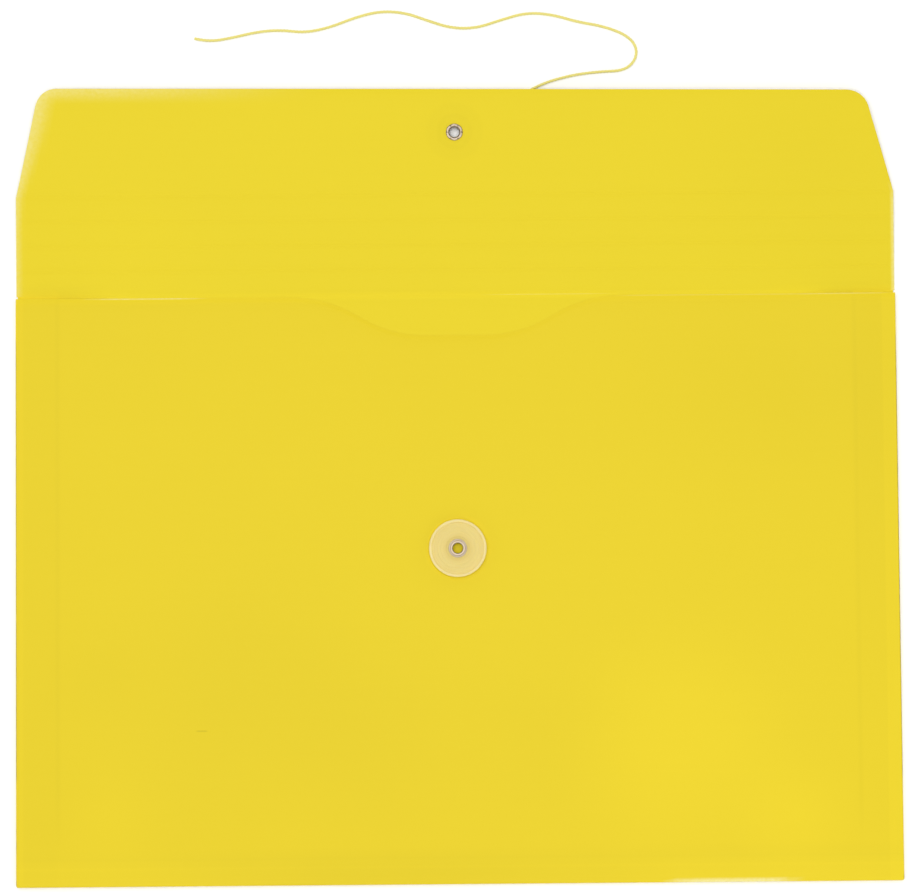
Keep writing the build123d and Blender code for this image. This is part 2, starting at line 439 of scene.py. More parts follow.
@dataclass(frozen=True)
class ToneBand:
    """A strip of sheet drawn lighter or darker, for layers lying behind it and for painted light and shade.
    """

    axis: str
    start: float
    end: float
    blur: float
    change: float
    ends: tuple[float, float, float] | None = None

    def edges(self) -> list[tuple[str, float, float, float, float]]:
        """Axis, place, blur and the values on both sides of each of the band's soft edges."""
        found = [(self.axis, self.start, self.blur, 0.0, 1.0), (self.axis, self.end, self.blur, 1.0, 0.0)]
        if self.ends:
            other = "Y" if self.axis == "X" else "X"
            low, high, fade = self.ends
            found += [(other, low, fade, 0.0, 1.0), (other, high, fade, 1.0, 0.0)]
        return found


@dataclass(frozen=True)
class ToneDisc:
    """A round patch of sheet drawn lighter or darker, for what lies behind it and for painted light and
    shade.
    """

    centre: Point
    radius: float
    blur: float
    change: float


@dataclass(frozen=True)
class PolypropyleneSheet:
    """Yellow polypropylene, extruded and calendered: satin, evenly coloured, faintly streaked across.

    The eye gets a saturated yellow with almost no gloss, a fine grain, and slightly deeper yellow
    where another layer lies behind. Edges get a speckled painted highlight, bands painted light and shade.
    """

    name: str
    colour: str = "#DCC61A"
    pale_colour: str = "#E8DE94"
    bands: tuple[ToneBand, ...] = ()
    discs: tuple[ToneDisc, ...] = ()
    roughness: tuple[float, float] = (0.42, 0.54)
    refraction: float = 1.49
    specular_level: float = 0.16
    cloud_mm: float = 60.0
    cloud_tone: float = 0.016
    streak_mm: tuple[float, float] = (90.0, 1.8)
    streak_tone: float = 0.010
    speckle_mm: float = 1.4
    speckle_range: tuple[float, float] = (0.3, 0.7)
    speckle_least: float = 0.55
    grain_mm: float = 0.9
    grain_depth_mm: float = 0.03
    grain_strength: float = 0.35

    def tone(self, tree: bpy.types.NodeTree, place: bpy.types.NodeSocket) -> bpy.types.NodeSocket:
        """Work out how light the sheet is, from its clouds, streaks, bands and discs.

        Args:
            tree: the material's nodes.
            place: the socket with places on the flat sheet.

        Returns:
            The socket with the tone, which is near 1.
        """
        axes = add_node(tree, "SeparateXYZ", links={"Vector": place}).node.outputs
        settings = {"Scale": 1 / self.cloud_mm, "Detail": 2.0}
        clouds = add_node(tree, "TexNoise", settings, {"Vector": place})
        settings = {"Scale": (1 / self.streak_mm[0], 1 / self.streak_mm[1], 1.0)}
        along = add_node(tree, "Mapping", settings, {"Vector": place})
        streaks = add_node(tree, "TexNoise", {"Scale": 1.0, "Detail": 3.0}, {"Vector": along})
        settings = {"operation": "MULTIPLY_ADD", 1: self.cloud_tone, 2: 1 - self.cloud_tone / 2}
        tone = add_node(tree, "Math", settings, {0: clouds})
        settings = {"operation": "MULTIPLY_ADD", 1: self.streak_tone}
        tone = add_node(tree, "Math", settings, {0: streaks, 2: tone})
        for band in self.bands:
            inside = None
            for axis, *edge in band.edges():
                share = add_node(tree, "MapRange", soft_edge(*edge), {"Value": axes[axis]})
                if inside is not None:
                    share = add_node(tree, "Math", {"operation": "MULTIPLY"}, {0: inside, 1: share})
                inside = share
            settings = {"operation": "MULTIPLY_ADD", 1: band.change}
            tone = add_node(tree, "Math", settings, {0: inside, 2: tone})
        for disc in self.discs:
            settings = {"operation": "DISTANCE", 1: (*disc.centre, 0.0)}
            apart = add_node(tree, "VectorMath", settings, {0: place}, "Value")
            settings = soft_edge(disc.radius, disc.blur, disc.change, 0.0)
            patch = add_node(tree, "MapRange", settings, {"Value": apart})
            tone = add_node(tree, "Math", {"operation": "ADD"}, {0: patch, 1: tone})
        return tone

    def build(self) -> bpy.types.Material:
        """Make the material.

        Returns:
            The material, which reads the piece's flat sheet places.
        """
        sockets = {"IOR": self.refraction, "Specular IOR Level": self.specular_level}
        material, shader = start_material(self.name, sockets)
        tree = material.node_tree
        place = add_node(tree, "Attribute", {"attribute_name": PLACE}, out="Vector")
        settings = {"operation": "SCALE", 0: linear(self.colour)[:3]}
        yellow = add_node(tree, "VectorMath", settings, {"Scale": self.tone(tree, place)})
        # Painted highlight on edges and a score, in the pale colour, broken up by a speckle
        highlight_share = add_node(tree, "Attribute", {"attribute_name": PALE}, out="Fac")
        settings = {"Scale": 1 / self.speckle_mm, "Detail": 3.0}
        speckle_noise = add_node(tree, "TexNoise", settings, {"Vector": place})
        low, high = self.speckle_range
        settings = {"From Min": low, "From Max": high, "To Min": self.speckle_least}
        speckle = add_node(tree, "MapRange", settings, {"Value": speckle_noise})
        speckled_highlight = add_node(tree, "Math", {"operation": "MULTIPLY"}, {0: highlight_share, 1: speckle})
        settings = {"data_type": "RGBA", 7: linear(self.pale_colour)}
        mixed = add_node(tree, "Mix", settings, {0: speckled_highlight, 6: yellow}, 2)
        tree.links.new(mixed, shader.inputs["Base Color"])
        # The real grain is about 0.1 mm, too fine to show, so it is drawn coarser
        settings = {"Scale": 1 / self.grain_mm, "Detail": 2.0}
        grain = add_node(tree, "TexNoise", settings, {"Vector": place})
        settings = {"To Min": self.roughness[0], "To Max": self.roughness[1]}
        gloss = add_node(tree, "MapRange", settings, {"Value": grain})
        tree.links.new(gloss, shader.inputs["Roughness"])
        settings = {"Strength": self.grain_strength, "Distance": self.grain_depth_mm * MM}
        bump = add_node(tree, "Bump", settings, {"Height": grain})
        tree.links.new(bump, shader.inputs["Normal"])
        return material


@dataclass(frozen=True)
class MouldedPolyethylene:
    """Milky low-density polyethylene, injection moulded: cream, waxy, and see-through enough to look
    yellower over the hub, with faint rings left by the turned mould."""

    name: str = "injection_moulded_polyethylene"
    # The paler rim is partly the cream plastic, partly a painted highlight against the shade under it
    rim_colour: str = "#DDCB8C"
    disc_colour: str = "#DCC674"
    hub_colour: str = "#D6BF69"
    hub_edge: tuple[float, float] = (6.0, 1.6)
    rim_edge: tuple[float, float] = (11.0, 0.7)
    ring_mm: float = 1.3
    ring_tone: float = 0.012
    roughness: float = 0.34
    refraction: float = 1.51
    specular_level: float = 0.35
    scatter_weight: float = 0.7
    scatter_radius: tuple[float, float, float] = (1.0, 0.9, 0.5)
    scatter_mm: float = 2.0

    def build(self) -> bpy.types.Material:
        """Make the material.

        Returns:
            The material, which reads the piece's places round its own axis.
        """
        sockets = {
            "IOR": self.refraction,
            "Roughness": self.roughness,
            "Specular IOR Level": self.specular_level,
            "Subsurface Weight": self.scatter_weight,
            "Subsurface Radius": self.scatter_radius,
            "Subsurface Scale": self.scatter_mm * MM,
        }
        material, shader = start_material(self.name, sockets)
        tree = material.node_tree
        place = add_node(tree, "Attribute", {"attribute_name": PLACE}, out="Vector")
        settings = {"operation": "MULTIPLY", 1: (1.0, 1.0, 0.0)}
        flat = add_node(tree, "VectorMath", settings, {0: place})
        radius = add_node(tree, "VectorMath", {"operation": "LENGTH"}, {0: flat}, "Value")
        share = add_node(tree, "MapRange", soft_edge(*self.hub_edge), {"Value": radius})
        settings = {"data_type": "RGBA", 6: linear(self.hub_colour), 7: linear(self.disc_colour)}
        colour = add_node(tree, "Mix", settings, {0: share}, 2)
        share = add_node(tree, "MapRange", soft_edge(*self.rim_edge), {"Value": radius})
        settings = {"data_type": "RGBA", 7: linear(self.rim_colour)}
        colour = add_node(tree, "Mix", settings, {0: share, 6: colour}, 2)
        settings = {"operation": "MULTIPLY", 1: 2 * math.pi / self.ring_mm}
        wave = add_node(tree, "Math", settings, {0: radius})
        rings = add_node(tree, "Math", {"operation": "SINE"}, {0: wave})
        settings = {"operation": "MULTIPLY_ADD", 1: self.ring_tone, 2: 1.0}
        tone = add_node(tree, "Math", settings, {0: rings})
        tinted = add_node(tree, "VectorMath", {"operation": "SCALE"}, {0: colour, "Scale": tone})
        tree.links.new(tinted, shader.inputs["Base Color"])
        return material


@dataclass(frozen=True)
class NickelPlate:
    """Nickel plate on drawn brass: a soft, slightly warm mirror with fine marks from the rivet tool."""

    name: str = "nickel_plated_brass"
    colour: str = "#A49584"
    roughness: tuple[float, float] = (0.34, 0.5)
    mark_mm: float = 0.35

    def build(self) -> bpy.types.Material:
        """Make the material.

        Returns:
            The material.
        """
        material, shader = start_material(self.name, {"Base Color": linear(self.colour), "Metallic": 1.0})
        tree = material.node_tree
        place = add_node(tree, "Attribute", {"attribute_name": PLACE}, out="Vector")
        settings = {"Scale": 1 / self.mark_mm, "Detail": 3.0}
        marks = add_node(tree, "TexNoise", settings, {"Vector": place})
        settings = {"To Min": self.roughness[0], "To Max": self.roughness[1]}
        gloss = add_node(tree, "MapRange", settings, {"Value": marks})
        tree.links.new(gloss, shader.inputs["Roughness"])
        return material


@dataclass(frozen=True)
class SpunPolyester:
    """Pale yellow spun polyester, three plies twisted: matt, a little fuzzy, darker between the plies."""

    name: str = "spun_polyester_string"
    colours: tuple[str, str] = ("#E0D262", "#EEE48E")
    fibre_mm: float = 0.25
    fibre_depth_mm: float = 0.05
    fibre_strength: float = 0.5
    roughness: float = 0.85
    specular_level: float = 0.2
    sheen: tuple[float, float] = (0.25, 0.6)

    def build(self) -> bpy.types.Material:
        """Make the material.

        Returns:
            The material, which reads places along and round the string.
        """
        sockets = {
            "Roughness": self.roughness,
            "Specular IOR Level": self.specular_level,
            "Sheen Weight": self.sheen[0],
            "Sheen Roughness": self.sheen[1],
        }
        material, shader = start_material(self.name, sockets)
        tree = material.node_tree
        place = add_node(tree, "Attribute", {"attribute_name": PLACE}, out="Vector")
        settings = {"Scale": 1 / self.fibre_mm, "Detail": 3.0}
        fibres = add_node(tree, "TexNoise", settings, {"Vector": place})
        settings = {"data_type": "RGBA", 6: linear(self.colours[0]), 7: linear(self.colours[1])}
        mixed = add_node(tree, "Mix", settings, {0: fibres}, 2)
        tree.links.new(mixed, shader.inputs["Base Color"])
        settings = {"Strength": self.fibre_strength, "Distance": self.fibre_depth_mm * MM}
        bump = add_node(tree, "Bump", settings, {"Height": fibres})
        tree.links.new(bump, shader.inputs["Normal"])
        return material


class GussetSide(Enum):
    """The three bellows of the pocket, each worked out from its outer fold inwards."""

    LEFT = "left"
    RIGHT = "right"
    BOTTOM = "bottom"

    def spot(self, out: float, along: float, height: float) -> Spot:
        """Place of a point by its distance out from the middle, along the fold and up."""
        if self is GussetSide.BOTTOM:
            return along, -out, height
        return (out if self is GussetSide.RIGHT else -out), along, height


class Fold(Enum):
    """The three folds of a bellows, from the back panel to the front one."""

    REAR = "rear"
    INNER = "inner"
    FRONT = "front"


@dataclass
class Pocket:
    """Back and front panels, the bellows leaves between them, their weld tabs, folds and corners."""

    sizes: EnvelopeSizes
    notch_floor: float = 52.8
    notch_depth: float = 16.4
    notch_flank_angle: float = 30.0
    notch_floor_share: float = 0.42
    notch_shoulder_share: float = 0.46
    corner_radius: float = 0.8
    cut_round: float = 0.08
    fold_round: float = 0.24
    seam_round: float = 0.01
    mitre_gap: float = 0.3
    tab_width: float = 6.0
    hole_radius: float = 2.45
    hole_reach: float = 9.0
    net_pitch: float = 7.0
    corner_shares: tuple[float, ...] = (0.0, 0.08, 0.3, 0.6, 1.0)
    bottom_rows: tuple[float, ...] = (0.8, 2.0)
    mouth_rows: tuple[float, ...] = (2.6, 1.4, 0.6)
    notch_steps: int = 8
    notch_margin: float = 1.0
    swell: float = 0.6
    side_hold: float = 45.0
    button_hold: float = 32.0
    wave_runs: Point = (52.0, 64.0)
    wave_starts: Point = (0.9, -0.5)
    wave_share: float = 0.45
    mouth_sag: float = 1.75
    sag_span: Point = (-78.0, -16.0)
    free_span: Point = (12.0, 50.0)
    edge_press: float = 0.42
    press_width: float = 2.4
    # Painted highlights on the bottom fold and the mouth's cut edge: start, end and strength of each stretch
    bottom_glints: tuple[Spot, ...] = ((83.0, 141.0, 1.0),)
    mouth_glints: tuple[Spot, ...] = ((-155.0, -104.0, 0.85), (66.0, 160.0, 0.22), (140.0, 184.0, 0.45))
    glint_fade: float = 12.0
    glint_depths: Point = (1.0, 0.3)
    # Painted highlight along the first score: where it rises and falls across, its strength and its width
    score_glint: tuple[float, ...] = (10.0, 24.0, 52.0, 68.0)
    score_glint_pale: float = 0.3
    score_glint_width: Point = (0.05, 0.25)
    tab_shares: tuple[float, ...] = (0.0, 0.1, 0.2, 0.3, 0.6, 1.0)
    leaf_runs: int = 4
    web_shares: tuple[float, ...] = (0.07, 0.3, 0.55, 0.8, 1.0)
    web_sheet: float = 0.015
    web_folds: tuple[float, float] = (0.038, 0.017)
    web_overlap: float = 0.4
    web_slack: float = 0.05
    web_hold: float = 0.6
    wrap_sheet: float = 0.1
    wrap_run: float = 0.8
    wrap_reach: float = 0.5
    wrap_steps: int = 8
    bend_steps: int = 12
    mouth_places: tuple[tuple[float, ...], ...] = ()
    pieces: list[bpy.types.Object] = field(default_factory=list)

    def corner_columns(self, half: float) -> tuple[list[float], list[float]]:
        """Find the close columns at a panel's rounded corners.

        Args:
            half: half of the panel's width.

        Returns:
            The columns at the left corner and at the right one, each from left to right.
        """
        close = [half - self.corner_radius * share for share in self.corner_shares]
        return [-x for x in close], close[::-1]

    def corner_rise(self, x: float, half: float) -> float:
        """How far a rounded bottom corner stands above the bottom edge."""
        inset = self.corner_radius - (half - abs(x))
        return self.corner_radius - math.sqrt(max(self.corner_radius**2 - max(inset, 0.0) ** 2, 0.0))

    def mouth_line(self, half: float) -> list[Point]:
        """The front panel's top edge, with the thumb notch.

        Args:
            half: half of the panel's width.

        Returns:
            The edge's points, from left to right.
        """
        fall = math.radians(self.notch_flank_angle)
        flank = self.notch_depth / math.sin(fall)
        floor_half = self.notch_floor / 2
        mouth_half = floor_half + self.notch_depth / math.tan(fall)
        floor_radius = self.notch_floor_share * flank / math.tan(fall / 2)
        shoulder_radius = self.notch_shoulder_share * flank / math.tan(fall / 2)
        top, floor = self.sizes.mouth, self.sizes.mouth - self.notch_depth
        left, right = self.corner_columns(half)
        notch = rounded(
            [
                (left[-1], top, 0.0),
                (-mouth_half, top, shoulder_radius),
                (-floor_half, floor, floor_radius),
                (floor_half, floor, floor_radius),
                (mouth_half, top, shoulder_radius),
                (right[0], top, 0.0),
            ],
            self.notch_steps,
        )
        ends = [(x, top) for x in left[:-1]], [(x, top) for x in right[1:]]
        return ends[0] + spaced(notch, self.net_pitch) + ends[1]

    def below_mouth(self, x: float, y: float) -> float:
        """How far a point lies below the mouth's edge, in the notch too."""
        return float(np.interp(x, *self.mouth_places)) - y

    def swelling(self, x: float, y: float, button: Point) -> float:
        """How far the front panel stands up from flat, loose between its folds and its button.

        Args:
            x: place across.
            y: place along.
            button: middle of the button that holds the panel flat.

        Returns:
            The rise in millimetres.
        """
        sizes = self.sizes
        inside = sizes.half_width - abs(x)
        sides = smooth_step(0, self.side_hold, inside) * smooth_step(0, self.side_hold, y - sizes.bottom)
        near = 1 - math.exp(-((math.dist((x, y), button) / self.button_hold) ** 2))
        across = math.sin(x / self.wave_runs[0] + self.wave_starts[0])
        along = math.cos(y / self.wave_runs[1] + self.wave_starts[1])
        waves = 1 - self.wave_share + self.wave_share * across * along
        mouth = smooth_step(*self.sag_span, y - sizes.mouth)
        free = smooth_step(*self.free_span, inside)
        return self.swell * sides * near * waves * (1 - mouth) - self.mouth_sag * mouth * free

    def edge_glint(self, x: float, y: float) -> float:
        """Painted highlight on the panel's edges in a few stretches where light catches them.

        Args:
            x: place across.
            y: place along.

        Returns:
            A share from 0 to 1.
        """
        if y < self.sizes.bottom + self.glint_depths[0]:
            stretches = self.bottom_glints
        elif self.below_mouth(x, y) < self.glint_depths[1]:
            stretches = self.mouth_glints
        else:
            return 0.0
        fade = self.glint_fade
        return max(
            pale * smooth_step(start, start + fade, x) * (1 - smooth_step(end - fade, end, x))
            for start, end, pale in stretches
        )

    def rows(self, marks: Sequence[float], low: float, high: float) -> list[float]:
        """Row places as shares of a height, evenly spaced with marked rows added.

        Args:
            marks: places that must have a row.
            low: the height's lower end.
            high: its upper end.

        Returns:
            Shares from 0 to 1, in order.
        """
        line = spaced([(0.0, place) for place in sorted({low, high, *marks})], self.net_pitch)
        return [(place - low) / (high - low) for _, place in line]

    def build_front(self, button: Point) -> bpy.types.Object:
        """Build the front panel.

        Args:
            button: middle of the button on it.

        Returns:
            The piece.
        """
        half = self.sizes.half_width
        top = self.mouth_line(half)
        self.mouth_places = tuple(zip(*top))
        low = self.sizes.bottom
        near = [(x, low + self.corner_rise(x, half)) for x, _ in top]
        marks = [low + up for up in self.bottom_rows] + [self.sizes.mouth - down for down in self.mouth_rows]
        pattern = SheetPattern.ruled(near, top, self.rows(marks, low, self.sizes.mouth))
        pattern.punch(button, self.hole_radius, self.hole_reach)
        mouth = self.sizes.mouth - self.notch_depth - self.notch_margin

        def rim(x: float, y: float) -> float:
            """Cut edges are crisp and fold edges full."""
            fold = abs(x) > half - self.corner_radius or y < low + self.corner_radius
            return self.fold_round if fold and y < mouth else self.cut_round

        def place(x: float, y: float, h: float) -> Spot:
            """Lift the loose panel and press its cut edge thin."""
            press = self.edge_press * (1 - smooth_step(0.0, self.press_width, self.below_mouth(x, y)))
            h -= press * (h / self.sizes.sheet + 0.5)
            return x, y, self.sizes.front_level + h + self.swelling(x, y, button)

        piece = pattern.solid("front_sheet", self.sizes.sheet, place, rim, self.edge_glint)
        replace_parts(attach(piece, "front_panel"), "front_panel")
        return piece

    def build_back(self) -> bpy.types.Object:
        """Build the back panel up to just past the flap's first score.

        Returns:
            The piece.
        """
        sizes, flap = self.sizes, Flap(self.sizes)
        bend = self.bend_radius()
        half, low, high = sizes.half_width - bend, sizes.bottom + bend, sizes.crease + flap.seam_past
        left, right = self.corner_columns(half)
        middle = spaced([(left[-1], 0.0), (right[0], 0.0)], self.net_pitch)[1:-1]
        columns = left + [x for x, _ in middle] + right
        near = [(x, low + self.corner_rise(x, half)) for x in columns]
        far = [(x, high) for x in columns]
        marks = [sizes.crease + step for step in flap.score_steps]
        pattern = SheetPattern.ruled(near, far, self.rows(marks, low, high))

        def rim(x: float, y: float) -> float:
            """Only the short ends beside the score are cut."""
            return self.cut_round if sizes.mouth < y < high - TOUCH else self.seam_round

        def glint(x: float, y: float) -> float:
            """Painted highlight along the first score beside the notch."""
            start, full, fall, end = self.score_glint
            worn = smooth_step(start, full, x) * (1 - smooth_step(fall, end, x))
            past = smooth_step(*self.score_glint_width, abs(y - sizes.crease))
            return self.score_glint_pale * worn * (1 - past)

        piece = pattern.solid("back_sheet", sizes.sheet, flap.spot, rim, glint)
        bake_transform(piece)
        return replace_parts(piece, "back_panel")

    def along(self, side: GussetSide, depth: float) -> Point:
        """Where a leaf starts and ends along its fold, mitred at the bottom corners.

        Args:
            side: which bellows.
            depth: distance in from its outer fold.

        Returns:
            The two ends.
        """
        if side is GussetSide.BOTTOM:
            end = self.sizes.half_width - self.mitre_gap - depth
            return -end, end
        return self.sizes.bottom + self.mitre_gap + depth, self.sizes.mouth

    def outer(self, side: GussetSide) -> float:
        """Distance of a bellows' outer fold from the middle."""
        return -self.sizes.bottom if side is GussetSide.BOTTOM else self.sizes.half_width

    def bend_radius(self) -> float:
        """Outer radius of the rounded sheet at a fold."""
        return self.sizes.levels["rear"]

    def build_strip(
        self, name: str, side: GussetSide, level: float, depths: Sequence[float], ends: Sequence[Point]
    ) -> bpy.types.Object:
        """Build a flat strip of a bellows.

        Args:
            name: the piece's name.
            side: which bellows.
            level: height of the middle of the sheet.
            depths: distances in from the outer fold, one for each line of the net.
            ends: start and end along the fold at each of those depths.

        Returns:
            The piece.
        """
        outer = self.outer(side)
        near = [(outer - depth, end[0]) for depth, end in zip(depths, ends)]
        far = [(outer - depth, end[1]) for depth, end in zip(depths, ends)]
        count = math.ceil((ends[0][1] - ends[0][0]) / (self.leaf_runs * self.net_pitch))
        pattern = SheetPattern.ruled(near, far, [i / count for i in range(count + 1)])
        limits = (outer - depths[0], outer - depths[-1])

        def rim(out: float, along: float) -> float:
            """Fold sides are plain and the ends are cut."""
            return self.seam_round if min(abs(out - limit) for limit in limits) < TOUCH else self.cut_round

        return pattern.solid(
            name, self.sizes.sheet, lambda out, along, h: side.spot(out, along, level + h), rim
        )

    def build_bend(self, side: GussetSide, fold: Fold) -> bpy.types.Object:
        """Build the rounded sheet of one fold of a bellows.

        Args:
            side: which bellows.
            fold: which of its folds.

        Returns:
            The piece.
        """
        sheet = self.sizes.sheet
        level = self.sizes.levels[fold.value]
        middle = self.sizes.levels["rear"] - sheet / 2
        reach = self.bend_radius()
        depth = self.sizes.gusset_depth - reach if fold is Fold.INNER else reach
        axis = self.outer(side) - depth
        outwards = -1 if fold is Fold.INNER else 1
        start, end = self.along(side, depth)
        if fold is not Fold.INNER:
            start += self.corner_radius
            end -= self.corner_radius if side is GussetSide.BOTTOM else 0.0
        arc = math.pi * middle
        steps = [arc * i / self.bend_steps for i in range(self.bend_steps + 1)]
        count = math.ceil((end - start) / (self.leaf_runs * self.net_pitch))
        pattern = SheetPattern.ruled(
            [(s, start) for s in steps], [(s, end) for s in steps], [i / count for i in range(count + 1)]
        )

        def place(s: float, along: float, h: float) -> Spot:
            """Roll the strip from the lower sheet to the upper one."""
            angle = s / middle
            radius = middle - h
            out = axis + outwards * radius * math.sin(angle)
            return side.spot(out, along, level - radius * math.cos(angle))

        name = f"{side.value}_{fold.value}_bend"
        piece = pattern.solid(name, sheet, place, lambda s, along: self.seam_round)
        if fold is Fold.FRONT and side is not GussetSide.LEFT:
            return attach(piece, "front_panel")
        low, high = (Vector(side.spot(axis, 0.0, level + sign * reach)) * MM for sign in (-1, 1))
        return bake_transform(piece)

    def build_web(self, name: str, side: GussetSide, corner: int) -> bpy.types.Object:
        """Build the thin web that closes a bottom corner on one side of its mitre.

        Lying flat it is folded away between the leaves. Its free end is sized for the pocket's full opening.

        Args:
            name: the piece's name.
            side: the bellows that carries it.
            corner: -1 for the left corner, 1 for the right one.

        Returns:
            The piece.
        """
        sizes = self.sizes
        outer = self.outer(side)
        level = sizes.levels["inner"]
        bottom_web = side is GussetSide.BOTTOM
        fold = self.web_folds[bottom_web]
        apex = sizes.gusset_depth - self.bend_radius()
        arc = math.pi / 2 * fold
        lift = (level - fold - sizes.levels["rear"]) * math.sin(sizes.opening) - self.web_slack
        rear = [apex * (share - 1) - arc for share in self.web_shares]
        runs = [*rear, -arc / 2, 0.0, arc / 2, *(-run for run in reversed(rear))]

        def ends(run: float) -> Point:
            """Free and carried end of the web along the fold."""
            depth = apex - max(abs(run) - arc, 0.0)
            insets = depth * math.cos(sizes.opening) - lift, depth + self.mitre_gap + self.web_overlap
            return tuple(corner * (sizes.half_width - i) if bottom_web else sizes.bottom + i for i in insets)

        near, far = ([(run, ends(run)[k]) for run in runs] for k in (0, 1))
        pattern = SheetPattern.ruled(near, far, (0.0, 0.5, 1.0))

        def place(run: float, along: float, h: float) -> Spot:
            """Fold the web in two between the leaves."""
            angle = min(max(run / fold, -math.pi / 2), math.pi / 2)
            depth = apex - max(abs(run) - arc, 0.0) + (fold + h) * math.cos(angle)
            return side.spot(outer - depth, along, level + (fold + h) * math.sin(angle))

        piece = pattern.solid(name, self.web_sheet, place, lambda run, along: self.web_sheet / 4)
        reach = fold - self.web_sheet * self.web_hold
        low, high = (Vector(side.spot(outer - apex, 0.0, level + sign * reach)) * MM for sign in (-1, 1))
        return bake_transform(piece)

    def build_wrap(self, name: str, corner: int, fold: Fold) -> bpy.types.Object:
        """Build the sheet drawn round a bottom corner, between the side's fold and the bottom's.

        Args:
            name: the piece's name.
            corner: -1 for the left corner, 1 for the right one.
            fold: the rear or the front fold.

        Returns:
            The piece.
        """
        sizes = self.sizes
        middle = self.corner_radius - self.wrap_sheet / 2
        start, arc = self.wrap_run, middle * math.pi / 2
        bends = [start + arc * i / self.wrap_steps for i in range(self.wrap_steps + 1)]
        runs = [0.0, *bends, 2 * start + arc]
        # The leaf's tip swings out past the corner, so the wrap stops short on that side
        outer = self.bend_radius() - self.wrap_sheet / 4
        reach = (-outer, self.wrap_reach) if fold is Fold.REAR else (-self.wrap_reach, outer)
        near, far = ([(run, sizes.levels[fold.value] + side) for run in runs] for side in reach)

        def place(run: float, height: float, h: float) -> Spot:
            """Follow the side, the rounded corner and the bottom."""
            turn = min(max((run - start) / middle, 0.0), math.pi / 2)
            past = run - start - turn * middle
            across = self.corner_radius - (middle + h) * math.cos(turn) + max(past, 0.0)
            along = self.corner_radius - (middle + h) * math.sin(turn) - min(past, 0.0)
            return corner * (sizes.half_width - across), sizes.bottom + along, height

        pattern = SheetPattern.ruled(near, far, (0.0, 0.5, 1.0))
        piece = pattern.solid(name, self.wrap_sheet, place, lambda run, height: self.wrap_sheet / 4)
        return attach(piece, "back_panel" if fold is Fold.REAR else "front_panel")

    def build_bellows(self) -> None:
        """Build the leaves, tabs and folds of all three bellows, and the sheet in their corners."""
        half, bend = self.sizes.half_width, self.bend_radius()
        span = self.sizes.gusset_depth - 2 * bend
        for side in GussetSide:
            depths = [bend + span * i / self.leaf_runs for i in range(self.leaf_runs + 1)]
            ends = [self.along(side, depth) for depth in depths]
            for layer in ("rear", "front"):
                node = f"{side.value}_{layer}_leaf"
                low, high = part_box(node)
                level = (low.z + high.z) / 2 / MM
                leaf = self.build_strip(f"{side.value}_{layer}_gusset", side, level, depths, ends)
                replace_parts(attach(leaf, node), node)
                self.pieces.append(leaf)
            node = f"{side.value}_weld_tab"
            low, high = (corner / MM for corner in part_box(node))
            depths = [bend + (self.tab_width - bend) * share for share in self.tab_shares]
            ends = [(low.y + self.corner_rise(half - depth, half), high.y) for depth in depths]
            if side is GussetSide.BOTTOM:
                ends = [(low.x, high.x)] * len(depths)
            tab = self.build_strip(f"{side.value}_welded_tab", side, (low.z + high.z) / 2, depths, ends)
            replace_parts(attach(tab, "front_panel"), node)
            self.pieces.append(tab)
            self.pieces += [self.build_bend(side, fold) for fold in Fold]
        webs = (
            ("left_corner_web", GussetSide.LEFT, -1),
            ("right_corner_web", GussetSide.RIGHT, 1),
            ("bottom_left_web", GussetSide.BOTTOM, -1),
            ("bottom_right_web", GussetSide.BOTTOM, 1),
        )
        self.pieces += [self.build_web(*web) for web in webs]
        for side, corner in ((GussetSide.LEFT, -1), (GussetSide.RIGHT, 1)):
            for fold in (Fold.REAR, Fold.FRONT):
                self.pieces.append(self.build_wrap(f"{side.value}_{fold.value}_wrap", corner, fold))


